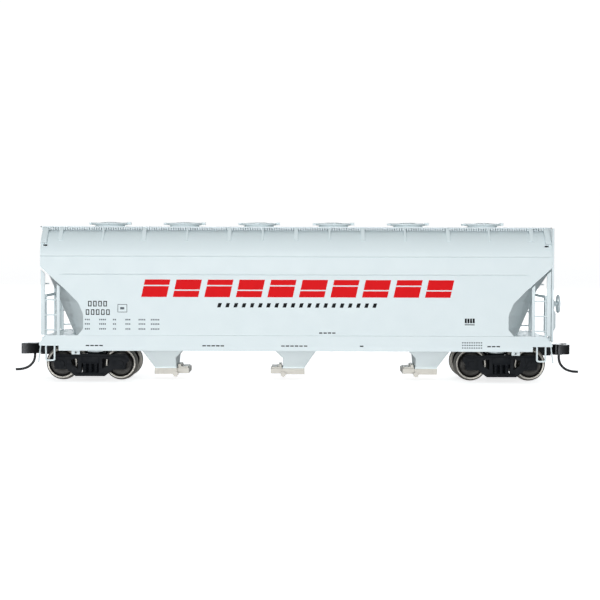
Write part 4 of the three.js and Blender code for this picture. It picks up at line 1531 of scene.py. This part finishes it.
    def keep_radius(self, piece: Piece, x: float) -> None:
        """Stores each corner's distance from the axle in millimetres, and whether it lies past tread_r, which
        takes in the tread and the rim face ring with its painted highlight.
        """
        radius = piece.data.attributes.new("turn_radius", "FLOAT", "POINT")
        tread = piece.data.attributes.new("tread", "FLOAT", "POINT")
        for vertex, distance, share in zip(piece.data.vertices, radius.data, tread.data):
            distance.value = math.hypot(vertex.co.x / MM - x, vertex.co.z / MM - self.axle_z)
            # Corners past tread_r get the bright colour: the tread, and the rim face ring as a painted
            # highlight.
            share.value = 1.0 if distance.value > self.tread_r else 0.0

    def build(self) -> None:
        """Makes the whole truck."""
        self.frame_casting()
        self.springs()
        self.wheelset(1, -1)
        self.wheelset(2, 1)
        self.softened(f"truck_screw_{self.letter}", 0.12, Slot.SCREW, f"truck_{self.letter}")


# ------------------------------------------------------------------ couplers


@dataclass
class Coupler(SubAssembly):
    """Draft box, shank, knuckle and the curled trip pin of one end."""

    letter: str = "a"
    end: int = -1
    pin_r: float = 0.44
    pin_route: Outline = ((0, 8.75), (0, 7.2), (0.5, 5.4), (2.2, 3.6), (4.6, 2.8), (6.88, 2.7))
    knuckle: Point = (93.3, -1.9)

    def build(self) -> None:
        """Makes the coupler's pieces on their three bodies."""
        letter = self.letter
        for name, width, slot, body in (
                (f"coupler_box_{letter}", 0.18, Slot.BLACK, BODY),
                (f"coupler_lid_{letter}", 0.1, Slot.BLACK, BODY),
                (f"coupler_screw_{letter}", 0.04, Slot.SCREW, BODY),
                (f"coupler_shank_{letter}", 0.28, Slot.COUPLER, f"coupler_{letter}"),
                (f"knuckle_{letter}", 0.3, Slot.COUPLER, f"knuckle_{letter}")):
            self.softened(name, width, slot, body, 3)
        x, y = self.knuckle
        route = bent([(self.end * (x + u), self.end * y, z) for u, z in self.pin_route], 1.4, 5)
        pin = Form().tube(route, self.pin_r, 14)
        self.skin(pin, f"trip_pin_{letter}", Slot.PIN, f"knuckle_{letter}")


@dataclass
class Wires(SubAssembly):
    """Bent wire fittings: grab irons on the ends, and the uncoupling levers."""

    radius: float = 0.22
    grabs: Sequence[Point] = ((2.5, 44.0), (2.5, 33.5))
    grab_length: float = 8.0
    lever: Sequence[Point] = (
        (88.7, 16, 6.8), (87.9, 16, 12.6), (88.9, 13, 12.9), (88.9, 3.9, 12.9), (90.6, 3.9, 12.9))
    handle: Sequence[Point] = ((88.7, -16, 6.8), (87.9, -16, 12.6), (87.2, -16, 13.6))

    def build(self) -> None:
        """Bends all wires of both ends."""
        form = Form()
        grabs = [
            ((87.4, y, z), (88.5, y, z), (88.5, y + self.grab_length, z), (87.4, y + self.grab_length, z))
            for y, z in self.grabs]
        for end in (-1, 1):
            for route, bend in (*[(grab, 0.6) for grab in grabs], (self.lever, 0.8), (self.handle, 0.6)):
                form.wire([(end * x, end * y, z) for x, y, z in route], self.radius, bend)
        self.extra(form, "wire_fittings")


class PlainNodes(SubAssembly):
    """CAD nodes whose shape is right as it is: each gets the finish of its slot."""

    def build(self) -> None:
        """Dresses the ballast, the only node that keeps its own mesh."""
        node = frame["nodes"]["ballast_weight"]
        node.data.materials.clear()
        node.data.materials.append(self.shelf[Slot.BALLAST])
        log.info("ballast_weight dressed in %s", FINISHES[Slot.BALLAST].name)


# ------------------------------------------------------------------ studio


@dataclass
class Studio:
    """Camera, soft lights and the pale floor that sweeps up behind the car."""

    eye: Point = (1.4, -493.7, 45.6)
    pitch: float = 2.06
    roll: float = 0.17
    lens: float = 83.3
    world: float = 0.26
    glow: float = 0.76
    white: str = "#fbfbfb"
    floor_profile: Outline = ((0, 0), (2600, 0), (2600, 3200))
    floor_bend: float = 900

    def camera(self) -> None:
        """Sets up the camera."""
        data = bpy.data.cameras.new("camera")
        data.sensor_width = 36
        data.lens = self.lens
        data.clip_start = 0.01
        view = bpy.data.objects.new("camera", data)
        view.matrix_world = (
            Matrix.Translation(Vector(self.eye) * MM) @ Matrix.Rotation(math.radians(90 - self.pitch), 4, "X")
            @ Matrix.Rotation(math.radians(self.roll), 4, "Z"))
        bpy.context.scene.collection.objects.link(view)
        bpy.context.scene.camera = view

    def light(
        self, name: str, place: Point, target: Point, size: Point, power: float, colour: str
    ) -> bpy.types.Object:
        """Adds one soft rectangular light.

        Args:
            name: Its name.
            place: Its centre in millimetres.
            target: The point that it faces.
            size: Width and height in millimetres.
            power: Its power in watts.
            colour: Its sRGB colour.

        Returns:
            The lamp.
        """
        data = bpy.data.lights.new(name, "AREA")
        data.shape = "RECTANGLE"
        data.size, data.size_y = size[0] * MM, size[1] * MM
        data.energy = power
        data.color = linear(colour)[:3]
        lamp = bpy.data.objects.new(name, data)
        aim = (Vector(place) - Vector(target)).to_track_quat("Z", "Y")
        lamp.matrix_world = Matrix.Translation(Vector(place) * MM) @ aim.to_matrix().to_4x4()
        bpy.context.scene.collection.objects.link(lamp)
        return lamp

    def floor(self) -> None:
        """Lays the floor, which sweeps up into a wall all round.

        It takes the car's shadow, but throws no light or reflection back on the car.
        """
        paper = LitTable("frosted_light_table", self.white, "#f9f9f9", 0.9, 40.0, 2.0, 0.002, glow=self.glow)
        profile = bent(self.floor_profile, self.floor_bend, 16)
        form = Form().loft([[(x, y, z) for x, y in circle(max(r, 1.0), 96)] for r, z in profile])
        bmesh.ops.reverse_faces(form.bm, faces=form.bm.faces)
        form.bm.faces.ensure_lookup_table()
        bmesh.ops.delete(form.bm, geom=[form.bm.faces[-1]], context="FACES_ONLY")
        bowl = form.piece("studio_floor", paper.material(), 60)
        bowl.visible_diffuse = False
        bowl.visible_glossy = False

    def build(self) -> None:
        """Sets up the whole studio."""
        self.camera()
        self.floor()
        world = bpy.data.worlds.new("studio_world")
        world.use_nodes = True
        world.node_tree.nodes.clear()
        sky = add_node(world.node_tree, "ShaderNodeBackground", {}, {
            "Color": linear("#fbfdff"), "Strength": self.world})
        add_node(world.node_tree, "ShaderNodeOutputWorld", {}, {0: sky.outputs[0]})
        bpy.context.scene.world = world
        self.light("key", (-120, -1150, 45), (0, 0, 25), (1100, 200), 14.6, "#fcfeff")
        self.light("top", (0, -60, 1150), (0, 0, 30), (1500, 700), 1.5, "#e6fbff")
        self.light("back", (150, 1150, 260), (0, 0, 25), (1100, 300), 5.5, "#f6fbff")
        # This card falls only on the outlets, as light from the bright table would.
        card = self.light("low_card", (0, -420, 16), (0, 0, 6), (600, 40), 0.55, "#fffaf6")
        lit = bpy.data.collections.new("outlets_in_card_light")
        for piece in bpy.context.scene.objects:
            if piece.name.startswith(("hopper_bay", "outlet_gate")):
                lit.objects.link(piece)
        card.light_linking.receiver_collection = lit
        bpy.context.scene.view_settings.view_transform = "Standard"
        log.info("studio ready")


def main() -> None:
    """Builds the car's sub-assemblies in order, then the studio."""
    logging.basicConfig(level=logging.INFO, format="%(levelname)s %(message)s")
    shelf = FinishShelf()
    copies = CopiesTree()
    assemblies: list[SubAssembly] = [
        BodyShell(shelf, copies), Markings(shelf, copies), RoofWalk(shelf, copies), Hatches(shelf, copies),
        Ladders(shelf, copies), Underframe(shelf, copies), BrakeGear(shelf, copies), Wires(shelf, copies),
        PlainNodes(shelf, copies)]
    for letter, end in ENDS.items():
        assemblies.append(Truck(shelf, copies, letter, end * 71.35))
        assemblies.append(Coupler(shelf, copies, letter, end))
    for assembly in assemblies:
        assembly.build()
    Studio().build()


if __name__ == "__main__":
    main()
